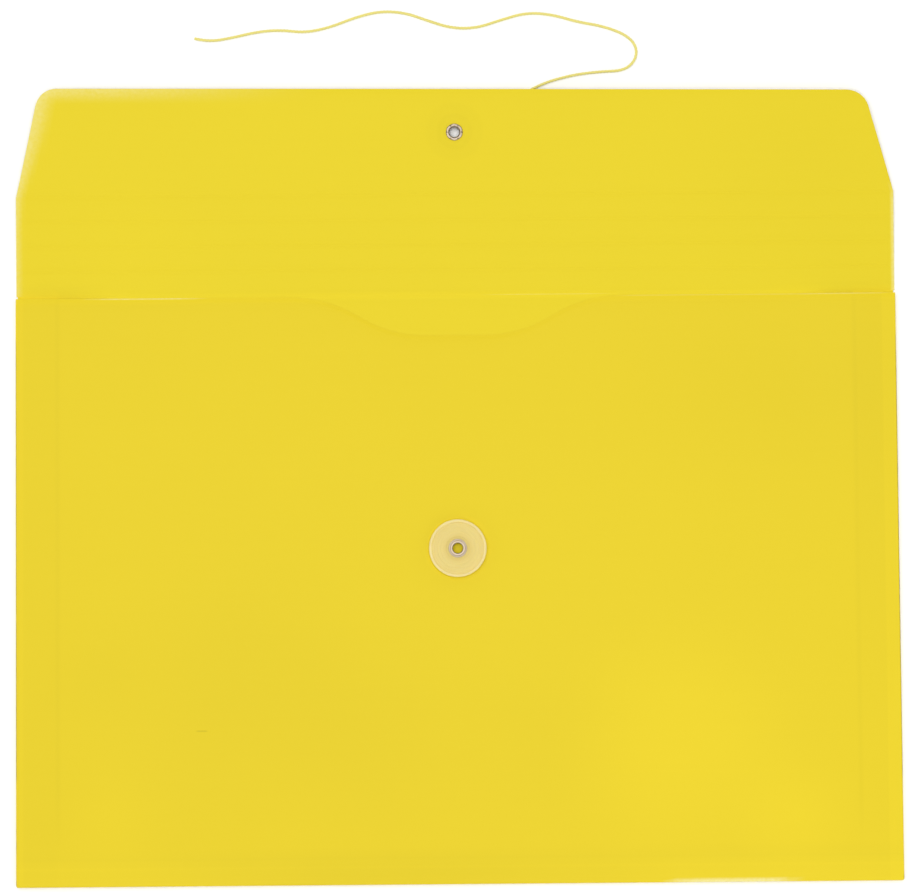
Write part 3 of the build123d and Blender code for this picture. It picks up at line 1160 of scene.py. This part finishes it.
@dataclass
class Flap:
    """Scored strips and tapered lid of the flap."""

    sizes: EnvelopeSizes
    seam_past: float = 0.5
    score_half: float = 0.4
    score_depth: float = 0.06
    score_steps: tuple[float, ...] = (-0.5, -0.25, 0.0, 0.25)
    taper_angle: float = 14.0
    corner_radius: float = 9.4
    corner_steps: int = 10
    side_pitch: float = 4.5
    cut_round: float = 0.08
    seam_round: float = 0.01
    hole_radius: float = 2.45
    hole_reach: float = 7.0
    droop: float = 0.5
    droop_powers: Point = (2.2, 1.3)
    edge_curl: float = 0.35
    curl_width: float = 5.0
    skew: float = 1.6
    stretch: float = 0.5
    lean: float = 1.15
    lean_span: Point = (0.1, 0.5)
    button_reach: float = 68.3
    # Painted highlight on the flap's margins: starts, widths, spans and strengths
    margin_start: Point = (-1.0, 0.2)
    margin_width: Point = (3.4, 5.6)
    margin_span: Point = (30.0, 80.0)
    margin_pale: Point = (0.55, 0.15)
    margin_pale_span: Point = (15.0, 60.0)
    top_margin: Point = (6.5, 0.62)
    top_span: Point = (-165.0, -50.0)
    right_margin: Point = (1.7, 0.8)
    right_span: Point = (38.0, 46.0)
    close_columns: tuple[float, ...] = (0.0, 0.002, 0.0045, 0.008, 0.0125, 0.018, 0.025)
    column_count: int = 44

    def lid_side(self) -> list[Point]:
        """Right side of the lid, from its score up the taper and round the corner."""
        sizes = self.sizes
        start = sizes.scores[-1] + self.seam_past
        lean = math.tan(math.radians(self.taper_angle))
        top_half = sizes.half_width - (sizes.flap_height - sizes.scores[-1]) * lean
        start_half = sizes.half_width - self.seam_past * lean
        line = rounded(
            [
                (start_half, start, 0.0),
                (top_half, sizes.flap_height, self.corner_radius),
                (0.0, sizes.flap_height, 0.0),
            ],
            self.corner_steps,
        )[:-1]
        return spaced(line, self.side_pitch)

    def lid_edge(self, s: float) -> float:
        """Distance of the lid's tapered side from the middle, at a height up the flap."""
        lean = math.tan(math.radians(self.taper_angle))
        return self.sizes.half_width - max(s - self.sizes.scores[-1], 0.0) * lean

    def edge_highlight(self, x: float, y: float) -> float:
        """Painted highlight on the left side, the left of the top edge and the foot of the right side.

        Args:
            x: place across.
            y: place along the flat sheet.

        Returns:
            A share from 0 to 1.
        """
        s = y - self.sizes.crease
        left = x + self.lid_edge(s)
        top = self.sizes.flap_height - s
        outer, inner = self.margin_start
        width, gain = self.margin_width
        reach = width + gain * smooth_step(*self.margin_span, s)
        pale, more = self.margin_pale
        side = (1 - smooth_step(outer, reach, left)) * (pale + more * smooth_step(*self.margin_pale_span, s))
        width, pale = self.top_margin
        upper = pale * (1 - smooth_step(outer, width, top)) * (1 - smooth_step(*self.top_span, x))
        width, pale = self.right_margin
        inset = self.lid_edge(s) - x
        right = pale * (1 - smooth_step(inner, width, inset)) * (1 - smooth_step(*self.right_span, s))
        return 1 - (1 - side) * (1 - upper) * (1 - right)

    def shares(self) -> list[float]:
        """Columns across the flap as shares of its width, closer at its cut sides."""
        edge, count = self.close_columns[-1], self.column_count
        middle = [edge + (1 - 2 * edge) * i / count for i in range(1, count)]
        return [*self.close_columns, *middle, *(1 - share for share in reversed(self.close_columns))]

    def spot(self, x: float, y: float, height: float) -> Spot:
        """Place a point of the long sheet that makes the back panel and the flap.

        Args:
            x: place across.
            y: place along the flat sheet.
            height: height above the middle of the sheet.

        Returns:
            Its place, with the scores pressed in, the flap lifted and its free corners drooping.
        """
        sizes = self.sizes
        s = y - sizes.crease
        score = min(abs(s - place) for place in sizes.scores)
        if height > 0:
            height -= self.score_depth * (1 - smooth_step(0.0, self.seam_past, score))
        if s <= 0:
            return x, y, sizes.sheet / 2 + height
        lid_start = sizes.scores[-1]
        side = x / sizes.half_width
        if s > lid_start:
            up = (s - lid_start) / (sizes.flap_height - lid_start)
            s += (self.stretch - self.skew * side) * up**2
            x -= self.lean * up * smooth_step(*self.lean_span, abs(side))
        share = min(s / sizes.flap_height, 1.0)
        sag = self.droop * abs(side) ** self.droop_powers[0] * share ** self.droop_powers[1]
        rim = min(x + self.lid_edge(s), sizes.flap_height - s)
        sag += self.edge_curl * share * max(1 - rim / self.curl_width, 0.0) ** 2
        lift = height - sizes.sheet / 2 - sag
        rise, run = math.sin(sizes.slope), math.cos(sizes.slope)
        return x, sizes.crease + s * run - lift * rise, sizes.sheet + s * rise + lift * run

    def build_strip(self, number: int) -> bpy.types.Object:
        """Build one scored strip, from just past its own score to just past the next.

        Args:
            number: which strip, from 1 at the pocket.

        Returns:
            The piece.
        """
        sizes = self.sizes
        start = sizes.crease + sizes.scores[number - 1] + self.seam_past
        fold = sizes.crease + sizes.scores[number]
        rows = [start, (start + fold) / 2, *(fold + step for step in self.score_steps), fold + self.seam_past]
        near = [(-sizes.half_width, y) for y in rows]
        far = [(sizes.half_width, y) for y in rows]
        if number == len(sizes.scores) - 1:
            near[-1] = (-self.lid_edge(rows[-1] - sizes.crease), rows[-1])
            far[-1] = (-near[-1][0], rows[-1])
        pattern = SheetPattern.ruled(near, far, self.shares())

        def rim(x: float, y: float) -> float:
            """The strip's short ends are cut and its long sides run on."""
            inside = rows[0] + TOUCH < y < rows[-1] - TOUCH
            return self.cut_round if inside else self.seam_round

        piece = pattern.solid(f"flap_band_{number}", sizes.sheet, self.spot, rim, self.edge_highlight)
        reach, top = self.score_half, sizes.sheet / 2
        ends = [Vector(self.spot(0.0, fold + sign * reach, top)) * MM for sign in (-1, 1)]
        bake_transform(piece)
        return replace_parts(piece, f"flap_strip_{number}")

    def build_lid(self) -> bpy.types.Object:
        """Build the tapered lid.

        Returns:
            The piece.
        """
        sizes = self.sizes
        side = self.lid_side()
        near = [(-x, sizes.crease + s) for x, s in side]
        far = [(x, sizes.crease + s) for x, s in side]
        pattern = SheetPattern.ruled(near, far, self.shares())
        pattern.punch((0.0, sizes.crease + self.button_reach), self.hole_radius, self.hole_reach)
        seam = sizes.crease + side[0][1] + TOUCH

        def rim(x: float, y: float) -> float:
            """All but the seam is cut."""
            return self.cut_round if y > seam else self.seam_round

        piece = pattern.solid("flap_end", sizes.sheet, self.spot, rim, self.edge_highlight)
        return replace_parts(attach(piece, "flap_lid"), "flap_lid")


@dataclass
class ButtonClosure:
    """A moulded disc on a hub, riveted to its sheet by an eyelet with a rolled head and a split clinch."""

    name: str
    body: str
    axis: Matrix
    disc_radius: float = 12.0
    hub_radius: float = 6.0
    hub_height: float = 1.4
    disc_thickness: float = 0.8
    rim_width: float = 1.1
    rim_rise: float = 0.2
    bore_radius: float = 2.1
    barrel_radius: float = 2.4
    head_radius: float = 3.85
    head_rise: float = 0.45
    clinch_radius: float = 3.55
    clinch_rise: float = 0.55
    sheet: float = 0.5
    ring_radii: tuple[float, ...] = (9.8, 8.5, 7.2)
    ring_width: float = 0.25
    ring_depth: float = 0.06
    ring_round: float = 0.12
    dish_radius: float = 5.0
    dish_depth: float = 0.1
    dish_slope: float = 0.3
    barrel_gap: float = 0.05
    petals: int = 6
    slit_depth: float = 0.4
    slit_span: Point = (0.02, 0.12)
    petal_bow: float = 0.12
    bow_span: Point = (0.1, 0.5)
    segments: int = 144
    round_steps: tuple[int, int] = (4, 5)

    def lathe(
        self, name: str, profile: Sequence[Point], split: Callable[[float], float] | None = None
    ) -> bpy.types.Object:
        """Turn a closed section round the closure's axis.

        Args:
            name: the piece's name.
            profile: radius and height of each corner of the section.
            split: share of its width that the clinch keeps at an angle.

        Returns:
            The piece.
        """
        count = len(profile)
        places = []
        for segment in range(self.segments):
            angle = 2 * math.pi * segment / self.segments
            for radius, height in profile:
                if split and height < -self.sheet and radius > self.barrel_radius:
                    radius = self.barrel_radius + (radius - self.barrel_radius) * split(angle)
                places.append((radius * math.cos(angle), radius * math.sin(angle), height))
        faces = []
        for segment in range(self.segments):
            here, ahead = segment * count, (segment + 1) % self.segments * count
            for corner in range(count):
                after = (corner + 1) % count
                faces.append((here + corner, ahead + corner, ahead + after, here + after))
        piece = finish_mesh(name, [self.axis @ (Vector(place) * MM) for place in places], faces)
        store(piece, PLACE, "FLOAT_VECTOR", places)
        return piece

    def build_disc(self) -> bpy.types.Object:
        """Build the moulded disc with its lipped rim, turned rings and hub.

        Returns:
            The piece.
        """
        top = self.hub_height + self.disc_thickness
        inner = self.barrel_radius + self.barrel_gap
        lip = self.disc_radius - self.rim_width
        # Radius, height and rounding of each corner
        corners = [
            (inner, 0.0, 0.0),
            (self.hub_radius, 0.0, 0.1),
            (self.hub_radius, self.hub_height, 0.25),
            (self.disc_radius, self.hub_height, 0.2),
            (self.disc_radius, top + self.rim_rise, 0.3),
            (lip, top + self.rim_rise, 0.2),
            (lip - self.rim_rise, top, 0.3),
        ]
        for radius in self.ring_radii:
            groove = ((0, 0.0), (1, self.ring_depth), (2, 0.0))
            corners += [(radius - k * self.ring_width, top - depth, self.ring_round) for k, depth in groove]
        floor = top - self.dish_depth
        dish = self.dish_radius
        corners += [(dish, top, 0.2), (dish - self.dish_slope, floor, 0.2), (inner, floor, 0.0)]
        piece = self.lathe(f"{self.name}_disc", rounded(corners, self.round_steps[0], closed=True))
        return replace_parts(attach(piece, self.body), f"{self.name}_button")

    def build_eyelet(self) -> bpy.types.Object:
        """Build the eyelet: rolled head, barrel and clinch split into petals.

        Returns:
            The piece.
        """
        seat = self.hub_height + self.disc_thickness - self.dish_depth
        top = seat + self.head_rise
        # Radius, height and rounding of each corner
        head = [
            (self.bore_radius, top - 0.3, 0.12),
            (self.bore_radius + 0.25, top, 0.15),
            (self.bore_radius + 0.95, top, 0.15),
            (self.bore_radius + 1.15, seat + 0.2, 0.1),
            (self.head_radius - 0.12, seat + 0.16, 0.12),
            (self.head_radius, seat, 0.0),
            (self.barrel_radius, seat, 0.0),
            (self.barrel_radius, -self.sheet, 0.0),
        ]
        foot = -self.sheet - self.clinch_rise
        clinch = [
            (self.clinch_radius, -self.sheet, 0.0),
            (self.clinch_radius, foot + 0.24, 0.08),
            (self.clinch_radius - 0.2, foot + 0.1, 0.2),
            (self.bore_radius + 0.5, foot, 0.25),
            (self.bore_radius, foot + 0.5, 0.3),
        ]
        profile = rounded(head + clinch, self.round_steps[1], closed=True)

        def split(angle: float) -> float:
            """Petals of the clinch are parted by narrow slits."""
            turn = (angle * self.petals / (2 * math.pi)) % 1
            slit = min(turn, 1 - turn)
            depth = self.slit_depth * (1 - smooth_step(*self.slit_span, slit))
            return 1 - depth - self.petal_bow * (1 - smooth_step(*self.bow_span, slit))

        piece = self.lathe(f"{self.name}_rivet", profile, split)
        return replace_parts(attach(piece, self.body), f"{self.name}_eyelet")


@dataclass
class TieString:
    """Three-ply string: a loop in the groove behind the flap, then a free length along the table."""

    sizes: EnvelopeSizes
    button: Vector
    diameter: float = 0.0012
    length: float = 0.3183
    loop_radius: float = 0.0067
    loop_turn: float = 315.0
    leave_angle: float = -46.0
    lead: float = 0.0123
    groove_depth: float = 0.0007
    lie: float = 0.00065
    loop_points: int = 22
    ply_radius: float = 0.00034
    ply_pitch: float = 0.0042
    step: float = 0.0005
    sides: int = 18
    plies: int = 3
    spline_order: int = 3
    spline_steps: int = 12
    route: tuple[Spot, ...] = (
        (0.0235, 0.0127, 0.0007),
        (0.0360, 0.0204, 0.0001),
        (0.0495, 0.0242, 0.0),
        (0.0615, 0.0256, 0.0),
        (0.0716, 0.0259, 0.0),
        (0.0766, 0.0302, 0.0),
        (0.0772, 0.0362, 0.0),
        (0.0726, 0.0412, 0.0),
        (0.0630, 0.0449, 0.0),
        (0.0520, 0.0468, 0.0),
        (0.0420, 0.0499, 0.0),
        (0.0310, 0.0509, 0.0),
        (0.0202, 0.0479, 0.0),
        (0.0096, 0.0444, 0.0),
        (-0.0010, 0.0445, 0.0),
        (-0.0110, 0.0478, 0.0),
        (-0.0200, 0.0511, 0.0),
        (-0.0305, 0.0520, 0.0),
        (-0.0410, 0.0495, 0.0),
        (-0.0520, 0.0452, 0.0),
        (-0.0626, 0.0430, 0.0),
        (-0.0730, 0.0443, 0.0),
        (-0.0830, 0.0435, 0.0),
        (-0.0940, 0.0409, 0.0),
        (-0.1034, 0.0395, 0.0),
        (-0.1091, 0.0409, 0.0),
    )

    def controls(self) -> tuple[list[Vector], Vector]:
        """Control points of the whole string.

        Returns:
            The points from the loop's start to the free end, and the point where the string leaves the hub.
        """
        rise, run = math.sin(self.sizes.slope), math.cos(self.sizes.slope)
        down = self.groove_depth
        centre = Vector((0.0, self.button.y + down * rise, self.button.z - down * run))
        across, up = Vector((1, 0, 0)), Vector((0, run, rise))
        end = math.radians(self.leave_angle)
        turn = math.radians(self.loop_turn)
        spread = self.loop_radius / math.cos(turn / self.loop_points / 2)
        points = []
        for i in range(self.loop_points):
            angle = end - turn * (1 - i / self.loop_points)
            points.append(centre + (across * math.cos(angle) + up * math.sin(angle)) * spread)
        out = across * math.cos(end) + up * math.sin(end)
        ahead = up * math.cos(end) - across * math.sin(end)
        leave = centre + out * self.loop_radius
        points += [leave, leave + ahead * self.lead]
        points += [Vector((centre.x + x, centre.y + y, self.lie + z)) for x, y, z in self.route]
        return points, leave

    def centreline(self, points: Sequence[Vector]) -> np.ndarray:
        """Read evenly spaced points from the smooth spline through the route.

        Args:
            points: the spline's control points.

        Returns:
            The points along the string.
        """
        curve = bpy.data.curves.new("string_line", "CURVE")
        curve.dimensions = "3D"
        curve.resolution_u = self.spline_steps
        spline = curve.splines.new("NURBS")
        spline.points.add(len(points) - 1)
        for knot, point in zip(spline.points, points):
            knot.co = (*point, 1.0)
        spline.order_u = self.spline_order
        spline.use_endpoint_u = True
        holder = bpy.data.objects.new("string_line", curve)
        mesh = bpy.data.meshes.new_from_object(holder)
        line = np.array([vertex.co for vertex in mesh.vertices])
        bpy.data.objects.remove(holder)
        bpy.data.meshes.remove(mesh)
        bpy.data.curves.remove(curve)
        far = np.concatenate([[0.0], np.cumsum(np.linalg.norm(np.diff(line, axis=0), axis=1))])
        count = round(far[-1] / self.step)
        marks = np.linspace(0.0, far[-1], count + 1)
        return np.stack([np.interp(marks, far, line[:, k]) for k in range(3)], axis=1)

    def build(self) -> bpy.types.Object:
        """Draw the string as one tube with three twisted lobes, one for each ply.

        Returns:
            The piece.
        """
        points, leave = self.controls()
        line = self.centreline(points)
        ahead = np.gradient(line, axis=0)
        ahead /= np.linalg.norm(ahead, axis=1)[:, None]
        normal = np.cross(ahead[0], (0.0, 0.0, 1.0))
        offset = self.diameter / 2 - self.ply_radius
        lobe = math.pi / self.plies
        vertices: list[np.ndarray] = []
        places: list[Spot] = []
        for ring, (spot, tangent) in enumerate(zip(line, ahead)):
            normal = normal - tangent * normal.dot(tangent)
            normal /= np.linalg.norm(normal)
            over = np.cross(tangent, normal)
            run = ring * self.step
            for k in range(self.sides):
                turn = 2 * math.pi * k / self.sides
                lean = (turn + lobe) % (2 * lobe) - lobe
                aside = offset * math.sin(lean)
                radius = offset * math.cos(lean) + math.sqrt(self.ply_radius**2 - aside**2)
                angle = turn + 2 * math.pi * run / self.ply_pitch
                vertices.append(spot + (normal * math.cos(angle) + over * math.sin(angle)) * radius)
                places.append((run / MM, radius / MM * math.cos(turn), radius / MM * math.sin(turn)))
        rings = len(line)
        last = (rings - 1) * self.sides
        faces: list[tuple[int, ...]] = [tuple(range(self.sides)), tuple(range(last, last + self.sides))]
        for ring in range(rings - 1):
            for k in range(self.sides):
                here, beside = ring * self.sides + k, ring * self.sides + (k + 1) % self.sides
                faces.append((here, beside, beside + self.sides, here + self.sides))
        piece = finish_mesh("tie_cord", vertices, faces)
        store(piece, PLACE, "FLOAT_VECTOR", places)
        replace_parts(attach(piece, "flap_lid"), "string_loop", "tie_string")
        return piece


@dataclass(frozen=True)
class Softbox:
    """A soft studio lamp."""

    name: str
    place: Spot
    aim: Spot
    size: Point
    power: float

    def build(self) -> bpy.types.Object:
        """Hang the lamp and point it.

        Returns:
            The lamp.
        """
        lamp = bpy.data.lights.new(self.name, "AREA")
        lamp.shape = "RECTANGLE"
        lamp.size, lamp.size_y = self.size
        lamp.energy = self.power
        holder = bpy.data.objects.new(self.name, lamp)
        holder.location = self.place
        holder.rotation_euler = (Vector(self.aim) - Vector(self.place)).to_track_quat("-Z", "Y").to_euler()
        bpy.context.scene.collection.objects.link(holder)
        return holder


@dataclass
class Studio:
    """White table, soft lamps and the camera above the envelope."""

    distance: float = 1.2
    target: Spot = (-0.000385, 0.015464, 0.0)
    tilt: float = 2.779
    yaw: float = -0.238
    roll: float = -0.474
    focal_pixels: float = 2866.64
    image_width: float = 912.0
    sensor: float = 36.0
    floor_radius: float = 1.7
    floor_drop: float = 0.0002
    floor_sides: int = 96
    floor_colour: str = "#FBFBFA"
    floor_roughness: float = 0.9
    floor_specular: float = 0.1
    sky_colour: str = "#FFFFFF"
    sky_strength: tuple[float, float] = (0.92, 0.15)
    sky_rise: tuple[float, float] = (0.26, 0.64)
    lamps: tuple[Softbox, ...] = (
        Softbox("overhead_softbox", (-0.16, 0.12, 2.0), (0.0, 0.0, 0.0), (2.3, 2.3), 46.3),
        Softbox("front_right_softbox", (0.36, -0.46, 0.5), (0.1, -0.1, 0.0), (0.25, 0.2), 0.5),
    )

    def build_camera(self) -> bpy.types.Object:
        """Set the camera as the picture was taken, almost straight down.

        Returns:
            The camera.
        """
        tilt, yaw, roll = (math.radians(angle) for angle in (self.tilt, self.yaw, self.roll))
        back = Vector((math.sin(yaw), -math.sin(tilt), 0.0))
        back.z = math.sqrt(1 - back.length_squared)
        level = Vector((0, 1, 0)).cross(back).normalized()
        upright = back.cross(level)
        right = level * math.cos(roll) + upright * math.sin(roll)
        above = upright * math.cos(roll) - level * math.sin(roll)
        lens = bpy.data.cameras.new("camera")
        lens.sensor_width = self.sensor
        lens.lens = self.focal_pixels * self.sensor / self.image_width
        camera = bpy.data.objects.new("camera", lens)
        camera.matrix_world = Matrix.Translation(Vector(self.target) + back * self.distance) @ Matrix(
            (right, above, back)
        ).transposed().to_4x4()
        bpy.context.scene.collection.objects.link(camera)
        bpy.context.scene.camera = camera
        return camera

    def build_floor(self) -> bpy.types.Object:
        """Lay the white table top.

        Returns:
            The floor, which isn't part of the object.
        """
        mesh = bpy.data.meshes.new("table_top")
        turns = [2 * math.pi * i / self.floor_sides for i in range(self.floor_sides)]
        radius, low = self.floor_radius, -self.floor_drop
        rim = [(radius * math.cos(turn), radius * math.sin(turn), low) for turn in turns]
        mesh.from_pydata(rim, [], [tuple(range(self.floor_sides))])
        floor = bpy.data.objects.new("table_top", mesh)
        sockets = {
            "Base Color": linear(self.floor_colour),
            "Roughness": self.floor_roughness,
            "Specular IOR Level": self.floor_specular,
        }
        paper, _ = start_material("white_card", sockets)
        mesh.materials.append(paper)
        bpy.context.scene.collection.objects.link(floor)
        return floor

    def build(self) -> None:
        """Set up the table, the light and the camera."""
        scene = bpy.context.scene
        scene.view_settings.view_transform = "Standard"
        sky = bpy.data.worlds.new("studio")
        sky.use_nodes = True
        background = sky.node_tree.nodes["Background"]
        background.inputs["Color"].default_value = linear(self.sky_colour)
        way = add_node(sky.node_tree, "TexCoord", out="Generated")
        height = add_node(sky.node_tree, "SeparateXYZ", links={"Vector": way}, out="Z")
        low, high = self.sky_rise
        horizon, overhead = self.sky_strength
        settings = {"From Min": low, "From Max": high, "To Min": horizon, "To Max": overhead}
        glow = add_node(sky.node_tree, "MapRange", settings, {"Value": height})
        sky.node_tree.links.new(glow, background.inputs["Strength"])
        scene.world = sky
        self.build_floor()
        for lamp in self.lamps:
            lamp.build()
        self.build_camera()


@dataclass
class StringTieEnvelope:
    """The whole envelope: pocket, flap, closures and string, with their finishes."""

    sizes: EnvelopeSizes

    def dress(self, piece: bpy.types.Object, material: bpy.types.Material) -> None:
        """Give a piece its finish and report it.

        Args:
            piece: the piece.
            material: its finish.
        """
        piece.data.materials.append(material)
        log.info("%s: %d faces, %s", piece.name, len(piece.data.polygons), material.name)

    def front_bands(self) -> list[ToneBand]:
        """Deeper yellow over bellows and folds, lighter edge strips, a scratch, painted light and shade."""
        sizes = self.sizes
        inner = sizes.half_width - sizes.gusset_depth
        floor = sizes.bottom + sizes.gusset_depth
        # Bands that reach an edge of the sheet run a little past it
        past = 5.0
        far, top = sizes.half_width + past, sizes.mouth + past
        folds = (sizes.bottom + 24, top, 30.0)
        return [
            ToneBand("X", -far, -inner, 5.0, -0.010),
            ToneBand("X", inner, far, 6.0, -0.016, (-60.0, top, 120.0)),
            ToneBand("X", -inner - 1.0, -inner + 0.8, 1.6, -0.026, folds),
            ToneBand("X", inner - 0.8, inner + 1.0, 1.6, -0.024, folds),
            ToneBand("X", -far, -sizes.half_width + 3.0, 1.6, 0.022),
            ToneBand("X", sizes.half_width - 5.8, far, 1.0, 0.028),
            ToneBand("Y", sizes.bottom - past, floor - 3, 5.0, -0.012),
            ToneBand("Y", floor - 7.0, floor - 6.0, 1.2, -0.010),
            ToneBand("Y", sizes.bottom + 6.8, sizes.bottom + 7.8, 1.2, 0.014),
            ToneBand("Y", -101.9, -101.3, 0.5, -0.16, (-109.0, -104.8, 1.5)),
            # Painted light under the mouth and at both lower corners, painted shade mid-bottom
            ToneBand("Y", sizes.mouth - 2.4, top, 2.0, 0.022),
            ToneBand("Y", sizes.bottom - 9, sizes.bottom + 9, 12.0, 0.030, (74.0, 190.0, 40.0)),
            ToneBand("Y", sizes.bottom - 9, sizes.bottom + 12, 16.0, 0.030, (-200.0, -112.0, 50.0)),
            ToneBand("Y", sizes.bottom - 9, sizes.bottom + 11, 12.0, -0.022, (-74.0, 22.0, 60.0)),
        ]

    def painted_light_patches(self) -> list[ToneDisc]:
        """Broad soft patches of painted light and painted shade on the front sheet."""
        return [
            ToneDisc((92.0, -108.0), 34.0, 56.0, 0.040),
            ToneDisc((140.0, -138.0), 14.0, 44.0, 0.044),
            ToneDisc((-144.0, -138.0), 12.0, 36.0, 0.026),
            ToneDisc((-151.0, -80.0), 10.0, 38.0, -0.014),
            ToneDisc((-38.0, -104.0), 26.0, 64.0, -0.020),
            ToneDisc((168.0, 44.0), 24.0, 64.0, -0.020),
            ToneDisc((-90.0, -82.0), 34.0, 76.0, -0.026),
            ToneDisc((30.0, -105.0), 26.0, 50.0, -0.012),
            ToneDisc((122.0, 42.0), 30.0, 80.0, -0.016),
        ]

    def build(self) -> None:
        """Build and dress every piece."""
        sizes = self.sizes
        closures = self.place_closures()
        cord = TieString(sizes, closures["flap"].axis.translation).build()
        self.dress(cord, SpunPolyester().build())

        plain = PolypropyleneSheet("extruded_polypropylene").build()
        pocket = Pocket(sizes)
        seat = closures["pocket"].axis.translation / MM
        front = pocket.build_front((seat.x, seat.y))
        # Painted light round the disc's rim, against the shadow under it
        painted_light_halo = ToneDisc((seat.x, seat.y), 13.0, 3.4, 0.07)
        painted_light_rim = ToneDisc((seat.x, seat.y), 12.8, 0.8, 0.09)
        layered_and_painted_light = PolypropyleneSheet(
            "extruded_polypropylene_front",
            "#DBC31B",
            bands=tuple(self.front_bands()),
            discs=(painted_light_halo, painted_light_rim, *self.painted_light_patches()),
        )
        self.dress(front, layered_and_painted_light.build())
        # Light let in through the sheet makes the spot under the eyelet glow
        glow = ToneDisc((seat.x, seat.y), 2.6, 1.6, 0.5)
        # Painted light on the back sheet above the mouth, against the shade of the front's step, more at both
        # ends
        painted_light_band = ToneBand("Y", sizes.mouth - 1, sizes.crease + 1.0, 1.5, 0.03)
        painted_light_ends = [
            ToneBand("Y", sizes.mouth - 2, sizes.mouth + reach, blur, change, ends)
            for reach, blur, change in ((3.2, 3.0, 0.035), (0.9, 0.9, 0.05))
            for ends in ((-200.0, -140.0, 26.0), (140.0, 200.0, 26.0))
        ]
        strips = (painted_light_band, *painted_light_ends)
        backing = PolypropyleneSheet("extruded_polypropylene_back", bands=strips, discs=(glow,)).build()
        self.dress(pocket.build_back(), backing)
        pocket.build_bellows()
        for piece in pocket.pieces:
            self.dress(piece, plain)

        flap = Flap(sizes)
        eye = (0.0, sizes.crease + flap.button_reach)
        # Painted shade of the disc behind the lid, lighter at its eyelet; painted light on the flap's left,
        # painted shade on its right
        painted_light_and_shade = (
            ToneDisc(eye, 12.0, 2.5, -0.016),
            ToneDisc(eye, 7.6, 1.2, -0.020),
            ToneDisc(eye, 5.8, 1.2, 0.012),
            ToneDisc((-140.0, sizes.crease + 16), 20.0, 70.0, 0.014),
            ToneDisc((150.0, sizes.crease + 45), 34.0, 84.0, -0.016),
        )
        single = PolypropyleneSheet("extruded_polypropylene_flap", bands=strips, discs=painted_light_and_shade).build()
        for number in range(1, len(sizes.scores)):
            self.dress(flap.build_strip(number), single)
        self.dress(flap.build_lid(), single)

        milky, nickel = MouldedPolyethylene().build(), NickelPlate().build()
        for closure in closures.values():
            self.dress(closure.build_disc(), milky)
            self.dress(closure.build_eyelet(), nickel)

    def place_closures(self) -> dict[str, ButtonClosure]:
        """Find the axes of the two closures.

        Returns:
            The closures by name, each with its axis out of the face of the sheet that it stands on.
        """
        sizes = self.sizes
        low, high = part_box("pocket_button")
        pocket_seat = Vector(((low.x + high.x) / 2, (low.y + high.y) / 2, low.z))
        rise, run = math.sin(sizes.slope), math.cos(sizes.slope)
        ahead, out = Vector((0, run, rise)), Vector((0, -rise, run))
        fold = Vector((0, sizes.crease, sizes.sheet))
        flap_seat = (fold + ahead * Flap.button_reach - out * sizes.sheet) * MM
        down = Matrix.Rotation(math.pi + sizes.slope, 4, "X")
        return {
            "pocket": ButtonClosure("pocket", "front_panel", Matrix.Translation(pocket_seat)),
            "flap": ButtonClosure("flap", "flap_lid", Matrix.Translation(flap_seat) @ down),
        }


def main() -> None:
    """Build the studio and the envelope."""
    logging.basicConfig(level=logging.INFO, format="%(name)s: %(message)s")
    Studio().build()
    StringTieEnvelope(EnvelopeSizes.from_frame()).build()


if __name__ == "__main__":
    main()
